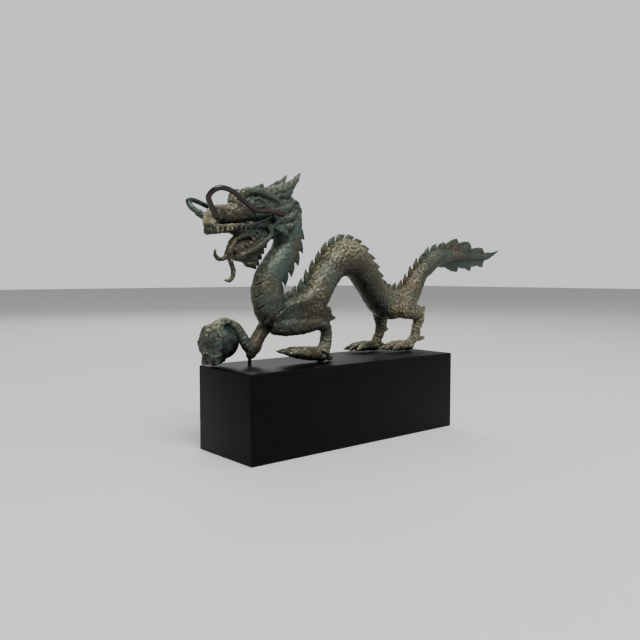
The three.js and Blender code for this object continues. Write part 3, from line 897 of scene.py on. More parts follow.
@dataclass
class Trunk:
    """Neck, arched back, hips and tail: one long tapering tube of scales with a saw-toothed crest."""

    sides: int = 108
    steps: int = 860
    crest_pitch: float = 9.0
    crest_height: float = 5.6
    crest_from: float = 0.06
    crest_to: float = 0.865
    stations: tuple[Station, ...] = (
        (-46, 0, 112, 8), (-44.2, 0, 104.8, 9.6), (-45, 0, 95, 10.1), (-45.5, 0, 87, 10.1),
        (-48.7, 0, 79, 10.2), (-56.3, 0, 69.7, 10.3), (-62.5, 0, 61.1, 10.3), (-64.3, 0, 52.7, 10.6),
        (-63.1, 0, 44.9, 11), (-58.3, 0, 36.2, 11.5), (-47.5, 1, 32.6, 12.6), (-33.2, 3, 36.6, 12.6),
        (-19.3, 3, 46.9, 12.4), (-9.9, 3, 60.2, 11.8), (-3.4, 3, 67.8, 11.9), (1.9, 3, 73, 13),
        (11.5, 3, 77.2, 14.3), (22, 3, 75, 13.7), (28.3, 3, 70.7, 12.3), (34.1, 3, 64.8, 12),
        (41.4, 4, 56.3, 11.3), (48, 5, 48.6, 11), (60.8, 8, 40.8, 12), (72.7, 8, 38.8, 12.2),
        (84.9, 8, 42.7, 11.1), (91.3, 8, 46.9, 10), (98.5, 8, 56.2, 8.5), (105.1, 8, 64.9, 7.4),
        (114.2, 8, 71.5, 7.6), (122.2, 8, 77.3, 7.8), (135.2, 8, 80.1, 7), (153.3, 8, 81.2, 5),
        (175.1, 8, 81.2, 3.6), (193.3, 8, 81, 2.6), (205, 8, 83, 1.8),
    )

    def build(self, bronze: bpy.types.Material) -> None:
        """Makes the trunk and its crest.

        Args:
            bronze: the casting's finish.
        """
        tube = bmesh.new()
        add_limb(tube, self.stations, self.sides, self.steps, relief=trunk_carving)
        trunk = finish_mesh("scaled_trunk", tube)
        weather(trunk, ((9, 0.28), (2.8, 0.2), (1.3, 0.12)))
        patina(trunk, relief=0.34)
        dress(trunk, bronze, "patinated_bronze", "dragon")
        crest = finish_mesh("back_crest", self.crest())
        patina(crest, reach=3, relief=0.6, dust_and_highlight_share=0.35)
        dress(crest, bronze, "patinated_bronze", "dragon")

    def crest(self) -> bmesh.types.BMesh:
        """Makes the row of points down the back, each leaning towards the tail.

        Returns:
            The crest's mesh.
        """
        blades = bmesh.new()
        share = np.linspace(self.crest_from, self.crest_to, 720)
        frames = Spine(self.stations).sample(share)
        feet = frames.centre + frames.back * frames.depth[:, None]
        walked = np.concatenate([[0.0], np.cumsum(np.linalg.norm(np.diff(feet, axis=0), axis=1))])
        for place in np.arange(0, walked[-1], self.crest_pitch):
            i = int(np.searchsorted(walked, place))
            foot, along, back = feet[i] - (0, 0, SOLE), frames.along[i], frames.back[i]
            lowered = 0.45 * bell(foot[0], 12, 18) + 0.2 * (foot[0] > 108)
            rise = self.crest_height * (1 - lowered)
            # how far each section lies ahead and above the foot, and its half width and half length
            sections = [(-1.4, -2.6, 1.6, 4.6), (-0.6, 0.6, 1.6, 4.4)]
            sections += [(1.4, rise * 0.6, 1.0, 2.2), (4.2, rise, 0.3, 0.3)]
            stations = [[*(foot + along * ahead + back * up), *half] for ahead, up, *half in sections]
            add_limb(blades, stations, 14, 10, side=np.cross(back, along), relief=grooves(8, 0.3))
        return blades


@dataclass
class Tail:
    """The leaf-shaped tail fin with flame lobes swept back, veined from its core."""

    thickness: float = 4.4
    root: float = 127.0
    tip: float = 219.6
    centre: float = 8.0
    # x, and the heights of the upper and the lower edge there
    edges: tuple[Station, ...] = (
        (127, 88.6, 71.4), (137, 93.6, 70.6), (139.6, 91.4, 70.4), (155.6, 97.6, 66.4),
        (158.6, 92.6, 70.6), (168, 95, 69.6), (175, 93.8, 67.2), (177.6, 88.6, 71.8), (185, 89.4, 72.4),
        (194, 89.4, 71.2), (196.6, 84.6, 77.4), (208, 85.4, 81), (219.6, 88, 87),
    )

    def core(self, x: Array) -> Array:
        """Gives the height of the fin's thickest line, which sags a little before its point."""
        sag = np.where(x < 200, (x - self.root) * 0.06, 0)
        return np.interp(x, [self.root, self.tip], [79.4, 87.5]) - sag

    @staticmethod
    def place_in_lobe(x: Array) -> Array:
        """Gives how far along its lobe each place on the fin is, from 0 to 1.

        Args:
            x: places along the fin, in mm.

        Returns:
            The shares.
        """
        ends = np.array([100, 127, 139.6, 158.6, 177.6, 196.6, 240])
        index = np.clip(np.searchsorted(ends, x, side="right") - 1, 0, len(ends) - 2)
        return np.clip((x - ends[index]) / (ends[index + 1] - ends[index]), 0, 1)

    @staticmethod
    def lobes(x: Array, places: Array, heights: Array, sign: int) -> Array:
        """Draws one edge of the fin as a row of rounded lobes.

        Args:
            x: where along the fin.
            places: the lobes' ends and the notches between them.
            heights: their heights.
            sign: 1 for the upper edge, -1 for the lower one.

        Returns:
            The edge's height at each x.
        """
        index = np.clip(np.searchsorted(places, x, side="right") - 1, 0, len(places) - 2)
        run, rise = places[index + 1] - places[index], heights[index + 1] - heights[index]
        share = (x - places[index]) / run
        bulge = 0.06 * run * np.sin(share * math.pi) * (run > 5) * (places[index] < 200)
        return heights[index] + rise * share + sign * bulge

    def build(self, bronze: bpy.types.Material) -> None:
        """Makes the fin.

        Args:
            bronze: the casting's finish.
        """
        table = np.array(self.edges, float)
        x = np.unique(np.concatenate([np.linspace(self.root, self.tip, 150), table[:, 0]]))
        upper = self.lobes(x, table[:, 0], table[:, 1], 1)
        lower = self.lobes(x, table[:, 0], table[:, 2], -1)
        core = np.clip(self.core(x), lower + 0.3, upper - 0.3)
        half = self.thickness / 2 * np.interp(x, [self.root, self.tip], [1, 0.25])
        share = np.linspace(0, 1, 40)
        rings = []
        for hand in (-1, 1):
            for s in share if hand < 0 else share[::-1]:
                height = upper + (lower - upper) * s
                off = np.abs(height - core)
                away = off / np.where(height > core, upper - core, core - lower)
                vein = np.abs(np.sin((x * 0.55 - off * 0.5) / 2.6 * math.pi)) ** 0.5
                overlap = 0.5 + 0.75 * self.place_in_lobe(x + 10 - 0.9 * off)
                out = half * (1 - 0.7 * away**1.6) * (0.45 + 0.62 * vein) * overlap
                rings.append(np.stack([x, self.centre + hand * np.maximum(out, 0.25), height + SOLE], axis=1))
        rings.append(rings[0])
        leaf = bmesh.new()
        add_skin(leaf, np.stack(rings, axis=1))
        fin = finish_mesh("tail_fin", leaf)
        melt(fin, 0.5)
        weather(fin, ((6, 0.3), (2.2, 0.22)))
        patina(fin, reach=7, relief=0.42)
        dress(fin, bronze, "patinated_bronze", "dragon")


def add_curl(
    target: bmesh.types.BMesh, hand: Side, points: Sequence[Station], thick: float, strands: int = 4
) -> None:
    """Adds a curl of hair or flesh on one side of the head.

    Args:
        target: the mesh that it is added to.
        hand: the side.
        points: x, distance out and height, in mm.
        thick: its half thickness at the root, in mm.
        strands: strands carved round it, or 0.
    """
    last = len(points) - 1
    stations = []
    for i, (x, out, z) in enumerate(points):
        size = 0.4 if i == last else thick * (1 - 0.35 * i / last)
        stations.append([x, out * hand.value, z, size * 0.8, size])
    add_limb(target, stations, 20, 26, relief=grooves(strands * 2, 0.5, 0.3) if strands else None)


def add_flame(
    target: bmesh.types.BMesh, root: Station, middle: Station, tip: Station, breadth: float, thick: float
) -> None:
    """Adds a flat lobe in the shape of a flame.

    Args:
        target: the mesh that it is added to.
        root: x, y and height of its root, in mm.
        middle: the same of its broadest place.
        tip: the same of its point.
        breadth: half its breadth there, in mm.
        thick: half its thickness there, in mm.
    """
    stations = ((*root, thick * 0.8, breadth * 0.7), (*middle, thick, breadth), (*tip, 0.3, 0.3))
    add_limb(target, stations, 20, 20, relief=grooves(8, 0.5))


def add_whorl(target: bmesh.types.BMesh, centre: Station, radius: float) -> None:
    """Adds a curled end of the mane, wound flat against the head.

    Args:
        target: the mesh that it is added to.
        centre: x, y and height, in mm.
        radius: its outer radius, in mm.
    """
    x, y, z = centre
    count, first_turn, step = 14, -0.6, 0.62
    stations = []
    for i in range(count):
        turn, reach = first_turn + i * step, radius * (1 - i / (count + 1))
        size = 1.3 - 0.05 * i
        stations.append([x + reach * math.cos(turn), y, z + reach * math.sin(turn), size, size])
    add_limb(target, stations, 14, 70)


@dataclass
class Head:
    """Skull, jaws, tongue, beard, brows, horns and mane, run into one skin."""

    voxel: float = 0.5
    upper_teeth: int = 9
    lower_teeth: int = 7
    brow_tufts: int = 6
    skull: tuple[Station, ...] = (
        (-113.6, 0, 99.6, 2.6, 2.8), (-110.4, 0, 100, 5.4, 5.2), (-104.6, 0, 103.4, 6.2, 6.6),
        (-97, 0, 104.4, 7, 7.2), (-90, 0, 105.8, 8.2, 8.2), (-84.4, 0, 109.6, 9.8, 11),
        (-76, 0, 111, 10.6, 12.4), (-65, 0, 111.6, 11, 13.2), (-53, 0, 111.6, 11, 12),
        (-42, 0, 109.6, 8.8, 9), (-34.6, 0, 108, 4, 5),
    )
    upper_jaw: tuple[Station, ...] = (
        (-112.8, 0, 93.2, 2.8, 3.2), (-108.4, 0, 93.8, 5.4, 3.2), (-96, 0, 95.2, 6.8, 3),
        (-80, 0, 97.6, 8.2, 3.6), (-60, 0, 99.4, 9, 6),
    )
    lower_jaw: tuple[Station, ...] = (
        (-58, 0, 97, 7.8, 5.6), (-68, 0, 90.6, 7.4, 5.8), (-76, 0, 84, 7.2, 6.2),
        (-83.4, 0, 78.6, 6.4, 5.4), (-88.6, 0, 76.2, 4.8, 3.6), (-91, 0, 75.8, 2.4, 2.2),
    )
    palate: tuple[Station, ...] = (
        (-108, 0, 95, 3, 2.8), (-95, 0, 95, 4.8, 3.2), (-82, 0, 94.6, 6, 4.8), (-68, 0, 94, 6, 5),
    )
    mouth_floor: tuple[Station, ...] = (
        (-70, 0, 88, 4, 4), (-80, 0, 84.6, 4.6, 4.6), (-88, 0, 81.6, 4.2, 5), (-91.6, 0, 80.2, 3, 4),
    )
    tongue_root: tuple[Station, ...] = (
        (-68, 0, 94, 5, 4.4), (-78, 0, 91.6, 5.6, 4), (-86, 0, 90.6, 5, 3), (-91.4, 0, 86.4, 3.8, 2.4),
        (-94, 0, 81.6, 3.4, 2.8), (-95.8, 0, 77.4, 2.8, 2.4),
    )
    upper_tip: tuple[Station, ...] = (
        (-95, 0, 78.6, 2, 1.9), (-98.6, 0, 75, 1.7, 1.6), (-103.6, -1, 74.4, 1.6, 1.5),
        (-107, -2, 77.2, 1.5, 1.4), (-107.6, -3, 81, 0.9, 0.9),
    )
    lower_tip: tuple[Station, ...] = (
        (-95.4, 0, 78, 2, 1.9), (-93.6, 0, 72.8, 1.8, 1.7), (-91.2, 1, 68.4, 1.7, 1.6),
        (-91, 1.6, 63, 1.6, 1.5), (-93.6, 2, 59.8, 1.5, 1.4), (-97, 2.4, 60.4, 0.9, 0.9),
    )
    horn: tuple[Station, ...] = (
        (-76, 6, 116, 3.4, 3.6), (-66, 7, 120.4, 3.6, 3.9), (-54, 8, 124, 3.3, 4),
        (-45.6, 8.2, 129.2, 2.2, 2.8), (-39.6, 8, 136.4, 0.6, 0.6),
    )
    # the upper gum: x and distance out
    gum_line: tuple[Station, ...] = ((-112.8, 2.4), (-108.4, 5.2), (-96, 6.6), (-80, 7.8))
    # x, and the heights of the beard's lower and upper edge there
    beard_edges: tuple[Station, ...] = (
        (-61.5, 91, 96), (-66.8, 87.2, 94), (-69, 84, 92), (-71, 80, 88), (-72.2, 75.4, 85),
        (-73, 67.8, 81), (-80, 69.2, 77), (-85, 73.6, 77),
    )
    beard_tufts: tuple[Station, ...] = ((-66.4, 86.4), (-68.6, 82.2), (-70.8, 78), (-73, 73.6))
    # curls on each side: points of x, distance out and height, then half thickness and strands
    curls: tuple[tuple[tuple[Station, ...], float, int], ...] = (
        # brow
        (((-89, 6, 111), (-87, 7, 119), (-78, 9.6, 120.4), (-66, 10.8, 117), (-58, 11, 112)), 3.0, 3),
        # eyelids
        (((-82, 8.6, 111), (-77.6, 10.6, 109.8), (-72, 10.6, 111.4)), 1.0, 0),
        (((-82, 8.6, 112.8), (-77.6, 10.9, 115.6), (-71.6, 10.6, 113)), 1.2, 0),
        # temple
        (((-80, 9.4, 105), (-72, 11.4, 106), (-62, 12, 109), (-52, 11.4, 113)), 2.2, 3),
        # lip
        (
            (
                (-110, 4.4, 96.4), (-104, 6, 96.2), (-95, 7.2, 96.8),
                (-82, 8.8, 98), (-70, 10.2, 102.4), (-61, 10.4, 109),
            ),
            1.5,
            0,
        ),
        # mane
        (((-66, 9.6, 106), (-55, 11.6, 110), (-45, 10, 116.6)), 3.6, 4),
        (((-64, 9.6, 102), (-53, 11.8, 104), (-42, 9, 110.6)), 3.6, 4),
        (((-60, 9, 98), (-51, 11, 98), (-42, 8.6, 103)), 3.2, 4),
        (((-64, 8.6, 99), (-56, 10.6, 94), (-50, 8.6, 89.4)), 3.2, 4),
        # cheek
        (((-68, 9.4, 98.6), (-66.6, 9.6, 92), (-74, 8.6, 85), (-82, 7, 79.6), (-88, 4.4, 77)), 2.1, 0),
    )

    def core(self, target: bmesh.types.BMesh) -> None:
        """Adds skull, nose and both jaws.

        Args:
            target: the mesh that it is added to.
        """
        add_limb(target, self.skull, 48, 70)
        for jaw in (self.upper_jaw, self.lower_jaw):
            add_limb(target, jaw, 32, 40)
        add_lump(target, (-109.4, 0, 99.6), (4.8, 6, 6))
        for hand in Side:
            add_lump(target, (-105.4, 4.2 * hand.value, 104.4), (4.2, 3.4, 5.2))

    def beard(self, target: bmesh.types.BMesh) -> None:
        """Adds the beard, combed in strands from the jaw to the tuft on the chin.

        Args:
            target: the mesh that it is added to.
        """
        last = len(self.beard_edges) - 1
        share = np.linspace(0, last, 60)
        x, low, high = (np.interp(share, range(last + 1), column) for column in np.array(self.beard_edges).T)
        half = 5.6 - 0.4 * share
        angle = np.linspace(0, TURN, 41)
        strand = 1 + 0.12 * np.cos(np.outer(np.ones_like(share), angle) * 9)
        out = half[:, None] * np.sin(angle) * strand
        rise = ((high - low) / 2)[:, None] * np.cos(angle) * (0.97 + 0.03 * strand)
        middle = ((high + low) / 2)[:, None]
        ahead = (x - 2.5)[:, None] - 2.5 * np.cos(angle)
        points = np.stack([ahead, out, middle + rise + SOLE], axis=-1)
        points[:, -1] = points[:, 0]
        add_skin(target, points)
        for x, z in self.beard_tufts:
            add_flame(target, (x - 3, 0, z + 2.4), (x, 0, z - 0.4), (x + 2.4, 0, z - 3.8), 2.4, 2.6)

    def teeth(self, target: bmesh.types.BMesh) -> None:
        """Adds the teeth along both edges of both jaws.

        Args:
            target: the mesh that it is added to.
        """
        front, back = (-87.4, 78.4), (-73, 91)  # x and height of the lower row's ends
        count = self.lower_teeth - 1
        for hand in Side:
            for x in np.linspace(-111, -83, self.upper_teeth):
                y = np.interp(x, *np.array(self.gum_line).T) * hand.value
                add_lump(target, (x, y * 1.06, self.gum_height(x) - 0.2), (1.0, 1.5, 2.5), 14)
            for i in range(count + 1):
                x, z = (front[k] + (back[k] - front[k]) * i / count for k in (0, 1))
                y = hand.value * (3 + 3.8 * math.sqrt(i / count))
                root, middle = (x, y, z, 1.25, 1.45), (x - 1.3, y * 0.98, z + 1.6, 1.15, 1.25)
                add_limb(target, (root, middle, (x - 2.2, y * 0.94, z + 2.7, 0.6, 0.7)), 12, 8)

    @staticmethod
    def gum_height(x: Array) -> Array:
        """Gives the upper gum's height at places along the jaw."""
        return 93.6 + (x + 112) * 0.13

    def tongue(self, target: bmesh.types.BMesh) -> None:
        """Adds the tongue and its two curling ends.

        Args:
            target: the mesh that it is added to.
        """
        for stations, sides, steps in (
            (self.palate, 24, 24),
            (self.mouth_floor, 24, 24),
            (self.tongue_root, 24, 30),
            (self.upper_tip, 16, 30),
            (self.lower_tip, 16, 36),
        ):
            add_limb(target, stations, sides, steps)

    def flank(self, target: bmesh.types.BMesh, hand: Side) -> None:
        """Adds what one side of the head carries: brow, eye, lip, horn, ear, mane and cheek.

        Args:
            target: the mesh that it is added to.
            hand: the side.
        """
        h = hand.value
        for points, thick, strands in self.curls:
            add_curl(target, hand, points, thick, strands)
        for i in range(self.brow_tufts):
            x, z = -86 + 4.6 * i, 118.6 + 1.6 * math.sin(i * 0.7)
            tuft = [(x, 7.6 + 0.5 * i, z - 1), (x + 4, 8.6 + 0.4 * i, z + 1.2)]
            tuft += [(x + 8, 8.4 + 0.4 * i, z - 0.4)]
            add_curl(target, hand, tuft, 1.9, 2)
        eye = (-77.6, 9.4 * h, 112.8)
        add_lump(target, eye, (2.5, 2.1, 2.3))
        add_whorl(target, (-46, 9.4 * h, 113.4), 3.4)
        add_whorl(target, (-45.4, 9.2 * h, 104.6), 3.0)
        horn = [(x, y * h, z, wide, deep) for x, y, z, wide, deep in self.horn]
        add_limb(target, horn, 24, 60, relief=grooves(7, 0.35, 0.4))
        add_flame(target, (-62, 8.4 * h, 117), (-52, 9 * h, 121), (-45.4, 9 * h, 126), 3.4, 2.4)

    def build(self, bronze: bpy.types.Material) -> None:
        """Makes the head.

        Args:
            bronze: the casting's finish.
        """
        mesh = bmesh.new()
        self.core(mesh)
        self.beard(mesh)
        self.teeth(mesh)
        self.tongue(mesh)
        add_flame(mesh, (-78, 0, 116), (-71.4, 0, 121.4), (-66, 0, 127.6), 4.4, 2.6)
        add_flame(mesh, (-70, 0, 117), (-60, 0, 122), (-53, 0, 131), 4.4, 2.6)
        for hand in Side:
            self.flank(mesh, hand)
        head = finish_mesh("head", mesh)
        melt(head, self.voxel)
        surface = Surface(head)
        for hand in Side:
            surface.dent((-111, 4.4 * hand.value, 102.4), 1.3, 1.2)
            surface.dent((-78.6, 11.4 * hand.value, 112.6), 0.9, 0.5)
        surface.write()
        weather(head, ((6, 0.4), (2.4, 0.36), (1.3, 0.16)))
        self.rub(head)
        patina(head, reach=6, relief=0.34)
        dress(head, bronze, "patinated_bronze", "dragon")

    def rub(self, head: bpy.types.Object) -> None:
        """Stores where hands have rubbed the nose pale, and how pale the teeth are.

        Args:
            head: the head.
        """
        surface = Surface(head)
        x, y, z = (surface.place - (0, 0, SOLE)).T
        nose = ramp(x, -107.4, -109.4) * ramp(z, 96, 99) * (0.35 + 0.6 * blotches(surface.place, 2.4, 2))
        teeth = ramp(x, -110, -108) * (x < -94) * (np.abs(z - self.gum_height(x)) < 2) * (np.abs(y) > 2)
        surface.keep("rubbed", np.clip(0.75 * nose + 0.4 * teeth * ramp(surface.proud(6), 0.02, 0.14), 0, 1))


# a toe's height above the soles and half thickness, from the pad to the claw, in mm
RAISED_TOES = ((5.9, 5.3), (6.8, 5.3), (7.7, 4.7), (8.6, 3.2), (9.2, 0.6))
FLAT_TOES = ((4.6, 4.2), (5.0, 4.2), (5.0, 3.8), (4.2, 2.8), (2.4, 0.5))


@dataclass
class Toes:
    """A foot: its pad's place, its toes' headings and length, and a toe's heights and half thicknesses."""

    pad: tuple[float, float]
    turns: tuple[float, ...]
    length: float
    profile: tuple[tuple[float, float], ...]

    def add(self, target: bmesh.types.BMesh) -> None:
        """Adds the pad and the ringed toes, packed side by side and running out to claws.

        Args:
            target: the mesh that it is added to.
        """
        x, y = self.pad
        add_lump(target, (x, y, 4.2), (6.4, 5, 4.2))
        last = len(self.profile) - 1
        for turn in self.turns:
            toe = []
            for i, (height, size) in enumerate(self.profile):
                reach = self.length * i / last
                place = (x - math.cos(turn) * reach, y + math.sin(turn) * reach, height)
                toe.append([*place, size * 0.72, size * 0.95])
            add_limb(target, toe, 28, 90, relief=self.rings)

    @staticmethod
    def rings(frames: Frames, angle: Array) -> Array:
        """Rings over the toe, fading out on the smooth claw.

        Args:
            frames: the limb's frames.
            angle: angles round its section.

        Returns:
            The height, in mm.
        """
        share = frames.walked / frames.walked[-1]
        waist = -0.5 * bell(share, 0.78, 0.04)
        fade = ramp(share, 0.8, 0.7)[:, None]
        return (bands(2.6, 0.28)(frames, angle) + grooves(5, 0.35)(frames, angle)) * fade + waist[:, None]


SHIN = bands(2.6, 0.5)  # the rings round a lower leg


@dataclass
class Legs:
    """The four legs with their feet, the fins on the upper arms, and the paw on the pearl."""

    voxel: float = 0.55
    pearl: tuple[float, float, float] = (-91.6, 16.0, 17.2)
    pearl_radius: float = 12.6
    fin_ribs: int = 6
    # the legs' middle lines, as a spine's stations; scales and rings meet where their parts overlap
    planted: tuple[Station, ...] = (
        (-62, -4, 28.6, 6.6, 7), (-54, -7.6, 28, 6.4, 7.4), (-44, -9.4, 27.6, 6, 7),
        (-33, -9.8, 28.2, 5.4, 6), (-23.5, -9.6, 28.6, 4.8, 5.2), (-17.4, -9.4, 25.4, 4.5, 4.7),
        (-16.2, -9.4, 19.6, 4.3, 4.4), (-17.6, -9.4, 12, 4.6, 4.6), (-21.4, -9.8, 6.4, 6, 5.6),
    )
    raised_upper: tuple[Station, ...] = (
        (-54, 4, 31, 7, 7), (-61, 6, 26.4, 5.2, 5.4), (-66, 7, 19.4, 4.7, 4.9),
        (-70.4, 7.4, 12.4, 5.4, 5.6), (-73, 7.4, 6.4, 3.4, 3.4), (-73.6, 7.4, 4.4, 2, 2),
    )
    raised_lower: tuple[Station, ...] = (
        (-70.6, 7.6, 10, 4.8, 4.8), (-75.6, 8.6, 15, 4.2, 4.2), (-79, 10.6, 21.6, 4, 4),
        (-83, 13.4, 27.6, 4.4, 3.8), (-89.4, 15.6, 30.6, 5.4, 3.4), (-96, 17.4, 29.4, 4.8, 3.2),
    )
    hind_near: tuple[Station, ...] = (
        (66, 4, 40, 8, 9), (77, 1.6, 36.6, 7.4, 9), (88, 0.8, 33.6, 6, 7.6), (96, 1, 30.6, 5, 5.8),
        (97.4, 1.4, 25, 4.4, 5), (95.2, 2, 18.6, 3.9, 4.2), (94, 2, 12.6, 3.9, 4.2),
        (88, 2, 7.4, 4.2, 3.6), (80, 2, 4.6, 4.2, 3.6),
    )
    hind_far: tuple[Station, ...] = (
        (62, 13, 38, 6.6, 8), (67, 17, 30, 6, 6.6), (68.6, 18, 23, 4.8, 5.2), (68, 18, 17.6, 4.2, 4.6),
        (65, 18, 11.6, 3.8, 4), (61, 18, 6, 4.2, 3.8),
    )
    # the spurs behind the hind legs: root, middle, tip, half breadth and half thickness
    spurs: tuple[tuple[Station, Station, Station, float, float], ...] = (
        ((96, 1, 30), (101, 1, 33.6), (105, 1, 37.6), 3, 2.4),
        ((92, 2, 10), (99.6, 2, 9.4), (106.6, 2, 9.8), 2.4, 2.2),
        ((66, 18, 19), (72, 18, 17.8), (77.6, 18, 17.6), 3, 2.4),
        ((62, 18, 7), (68, 18, 5), (74, 18, 4.4), 2.4, 2.2),
    )
    # each finger's heading and the angle that it sweeps over the pearl, in degrees, and its thickness in mm
    fingers: tuple[Station, ...] = (
        (128, 150, 3.6), (153, 152, 4.2), (178, 152, 4.4), (203, 150, 4.4), (226, 142, 4.0),
        (64, 112, 3.0),
    )
    # places along a finger: share of its sweep, height off the pearl in mm, and share of its thickness
    joints: tuple[Station, ...] = (
        (0.1, 0, 0.9), (0.32, 0.2, 1.05), (0.56, 0.4, 1.05), (0.78, 0.8, 0.95), (1, 1.4, 0.5),
    )
    steepest: float = 118.0
    # where the claws round the pearl are
    claws: tuple[Station, ...] = (
        (-106.4, 13, 22), (-108, 13, 15), (-108, 12, 8.6), (-104.6, 9, 5), (-100, 7, 3.8),
    )

    def fore_near(self, target: bmesh.types.BMesh) -> None:
        """Adds the left foreleg, planted under the chest.

        Args:
            target: the mesh that it is added to.
        """
        add_limb(target, self.planted[:6], 44, 100, relief=scales(13, 1.0))
        add_limb(target, self.planted[4:], 36, 60, relief=SHIN)
        Toes((-22, -9.6), (-0.24, 0, 0.24), 36, RAISED_TOES).add(target)
        add_lump(target, (-14.2, -10, 3.2), (3.2, 2.8, 3.1))

    def fore_far(self, target: bmesh.types.BMesh) -> None:
        """Adds the right foreleg, raised on the pearl, with its fingers round it.

        Args:
            target: the mesh that it is added to.
        """
        add_limb(target, self.raised_upper, 36, 60, relief=scales(10, 0.6))
        add_limb(target, self.raised_lower, 32, 70, relief=SHIN)
        px, py, pz = self.pearl
        add_lump(target, (px - 3.6, py + 2.4, 15.6), (12.4, 12.2, 15), 48)
        for turn, sweep, thick in self.fingers:
            heading = math.radians(turn)
            ahead, aside = math.cos(heading), math.sin(heading)
            stations = []
            for share, off, size in self.joints:
                down = math.radians(min(sweep * share, self.steepest))
                hang = max(sweep * share - self.steepest, 0) * 0.28
                reach = self.pearl_radius + off
                out = math.sin(down) * reach
                height = max(pz + math.cos(down) * reach - hang, 0.8)
                half = size * thick
                stations.append([px + ahead * out, py + aside * out, height, half, half * 0.8])
            add_limb(target, stations, 24, 60, side=(-aside, ahead, 0), relief=bands(2.8, 0.5))
        for x, y, z in self.claws:
            add_limb(target, [[x + 3, y, z + 5, 2.6], [x, y, z + 1, 2.4], [x - 1.2, y, z - 3, 0.7]], 16, 16)

    def arm_fin(self, target: bmesh.types.BMesh, hand: Side, y: float) -> None:
        """Adds the feathered fin on an upper arm, ribbed from its root to its points.

        Args:
            target: the mesh that it is added to.
            hand: the side.
            y: how far out it stands, in mm.
        """
        h = hand.value
        base = [(-64, y - 4, 31), (-52, y - 2, 32), (-38, y - 1, 32), (-24, y - 1, 31), (-17, y - 1, 29)]
        edge = [(-65, y - 2, 34.5), (-58, y, 40), (-47, y + 1, 45), (-36, y + 1, 46), (-26, y + 1, 44.4)]
        edge += [(-17, y + 1, 40.6), (-9.4, y + 1, 32)]
        count = self.fin_ribs * 20
        share = np.linspace(0, 1, count + 1)
        feet, tips = (self.even([[x, out * h, z, 1.0] for x, out, z in line], share) for line in (base, edge))
        ribs = share * self.fin_ribs
        tooth = np.abs((ribs % 1) * 2 - 1)
        reach = tooth * (1 + 0.04 * share) + (1 - tooth) * (1 - 0.34 * share**4)
        across = np.linspace(0, 1, 24)
        rings = []
        for way in (1, -1):
            for a in across if way > 0 else across[::-1]:
                rib = (np.abs(np.cos(ribs * 4 * math.pi)) - 0.7) * min(1, 3 * a)
                thick = np.maximum(1.7 * (1 - 0.7 * a**1.5) + rib, 0.3)
                point = feet + (tips - feet) * (reach * a)[:, None]
                rings.append(point + np.array([0, 1.0, 0]) * (way * thick)[:, None])
        rings.append(rings[0])
        add_skin(target, np.stack(rings, axis=1))

    @staticmethod
    def even(stations: Sequence[Station], share: Array) -> Array:
        """Gives points at even distances along a line.

        Args:
            stations: the line's stations.
            share: shares of its length.

        Returns:
            The points, in mm.
        """
        fine = Spine(stations).sample(np.linspace(0, 1, 400))
        walked = fine.walked / fine.walked[-1]
        return np.stack([np.interp(share, walked, fine.centre[:, k]) for k in range(3)], axis=1)

    def hind(self, target: bmesh.types.BMesh) -> None:
        """Adds both hind legs.

        Args:
            target: the mesh that it is added to.
        """
        add_limb(target, self.hind_near[:5], 44, 80, relief=scales(12, 0.75))
        add_limb(target, self.hind_near[3:], 36, 80, relief=SHIN)
        add_limb(target, self.hind_far[:4], 40, 60, relief=scales(11, 0.7))
        add_limb(target, self.hind_far[2:], 32, 50, relief=SHIN)
        for root, middle, tip, breadth, thick in self.spurs:
            add_flame(target, root, middle, tip, breadth, thick)
        Toes((84, 2), (-0.3, 0, 0.3), 27, FLAT_TOES).add(target)
        Toes((60, 18), (-0.28, 0, 0.28), 28.5, FLAT_TOES).add(target)

    def build(self, bronze: bpy.types.Material, ball: bpy.types.Material) -> None:
        """Makes the legs, the fins and the pearl.

        Args:
            bronze: the casting's finish.
            ball: the pearl's finish.
        """
        mesh = bmesh.new()
        self.fore_near(mesh)
        self.fore_far(mesh)
        self.arm_fin(mesh, Side.NEAR, 13)
        self.arm_fin(mesh, Side.FAR, 12)
        self.hind(mesh)
        legs = finish_mesh("legs", mesh)
        melt(legs, self.voxel)
        surface = Surface(legs)
        # the fingers run together on the pearl, with an uneven edge
        held = ramp(surface.place[:, 0], -83, -88)[:, None]
        surface.place += (surface.spread(surface.place, 14) - surface.place) * held
        surface.place += surface.normal * held * (1.1 * cast_noise(surface.place, 7, 4) - 0.5)[:, None]
        surface.write()
        weather(legs, ((7, 0.35), (2.4, 0.3), (1.4, 0.12)))
        patina(legs, reach=5, relief=0.32)
        dress(legs, bronze, "patinated_bronze", "dragon")
        sphere = bmesh.new()
        add_lump(sphere, self.pearl, (self.pearl_radius,) * 3, 64)
        pearl = finish_mesh("pearl", sphere)
        dress(pearl, ball, "patinated_bronze", "dragon")


# the whiskers' middle lines, from the nose to the cheek: x, y and height, in mm
NEAR_LINE = (
    (-108.8, -6.2, 102.2), (-114.2, -8.5, 109.7), (-117, -11, 113.8), (-115.5, -14, 117.6),
    (-111.4, -16, 119.6), (-106.7, -17, 119.2), (-100.5, -17, 116.8), (-94.7, -16.5, 113.2),
    (-88.5, -15.8, 109.6), (-82.3, -15.2, 106.8), (-75.6, -15, 107.4), (-65.6, -14.6, 106.8),
    (-56, -12, 105.2),
)
FAR_LINE = (
    (-111.2, 4.9, 102.8), (-115.2, 7, 105.8), (-118.2, 9, 108.7), (-119, 11, 111.6), (-118, 13, 113.4),
    (-114.8, 14.5, 114), (-110.8, 15.5, 113.6), (-106, 16, 112.2), (-99, 16, 109.8), (-91, 15.8, 107.8),
    (-80, 15.4, 107), (-66, 14.6, 106.8), (-56, 12, 105.2),
)


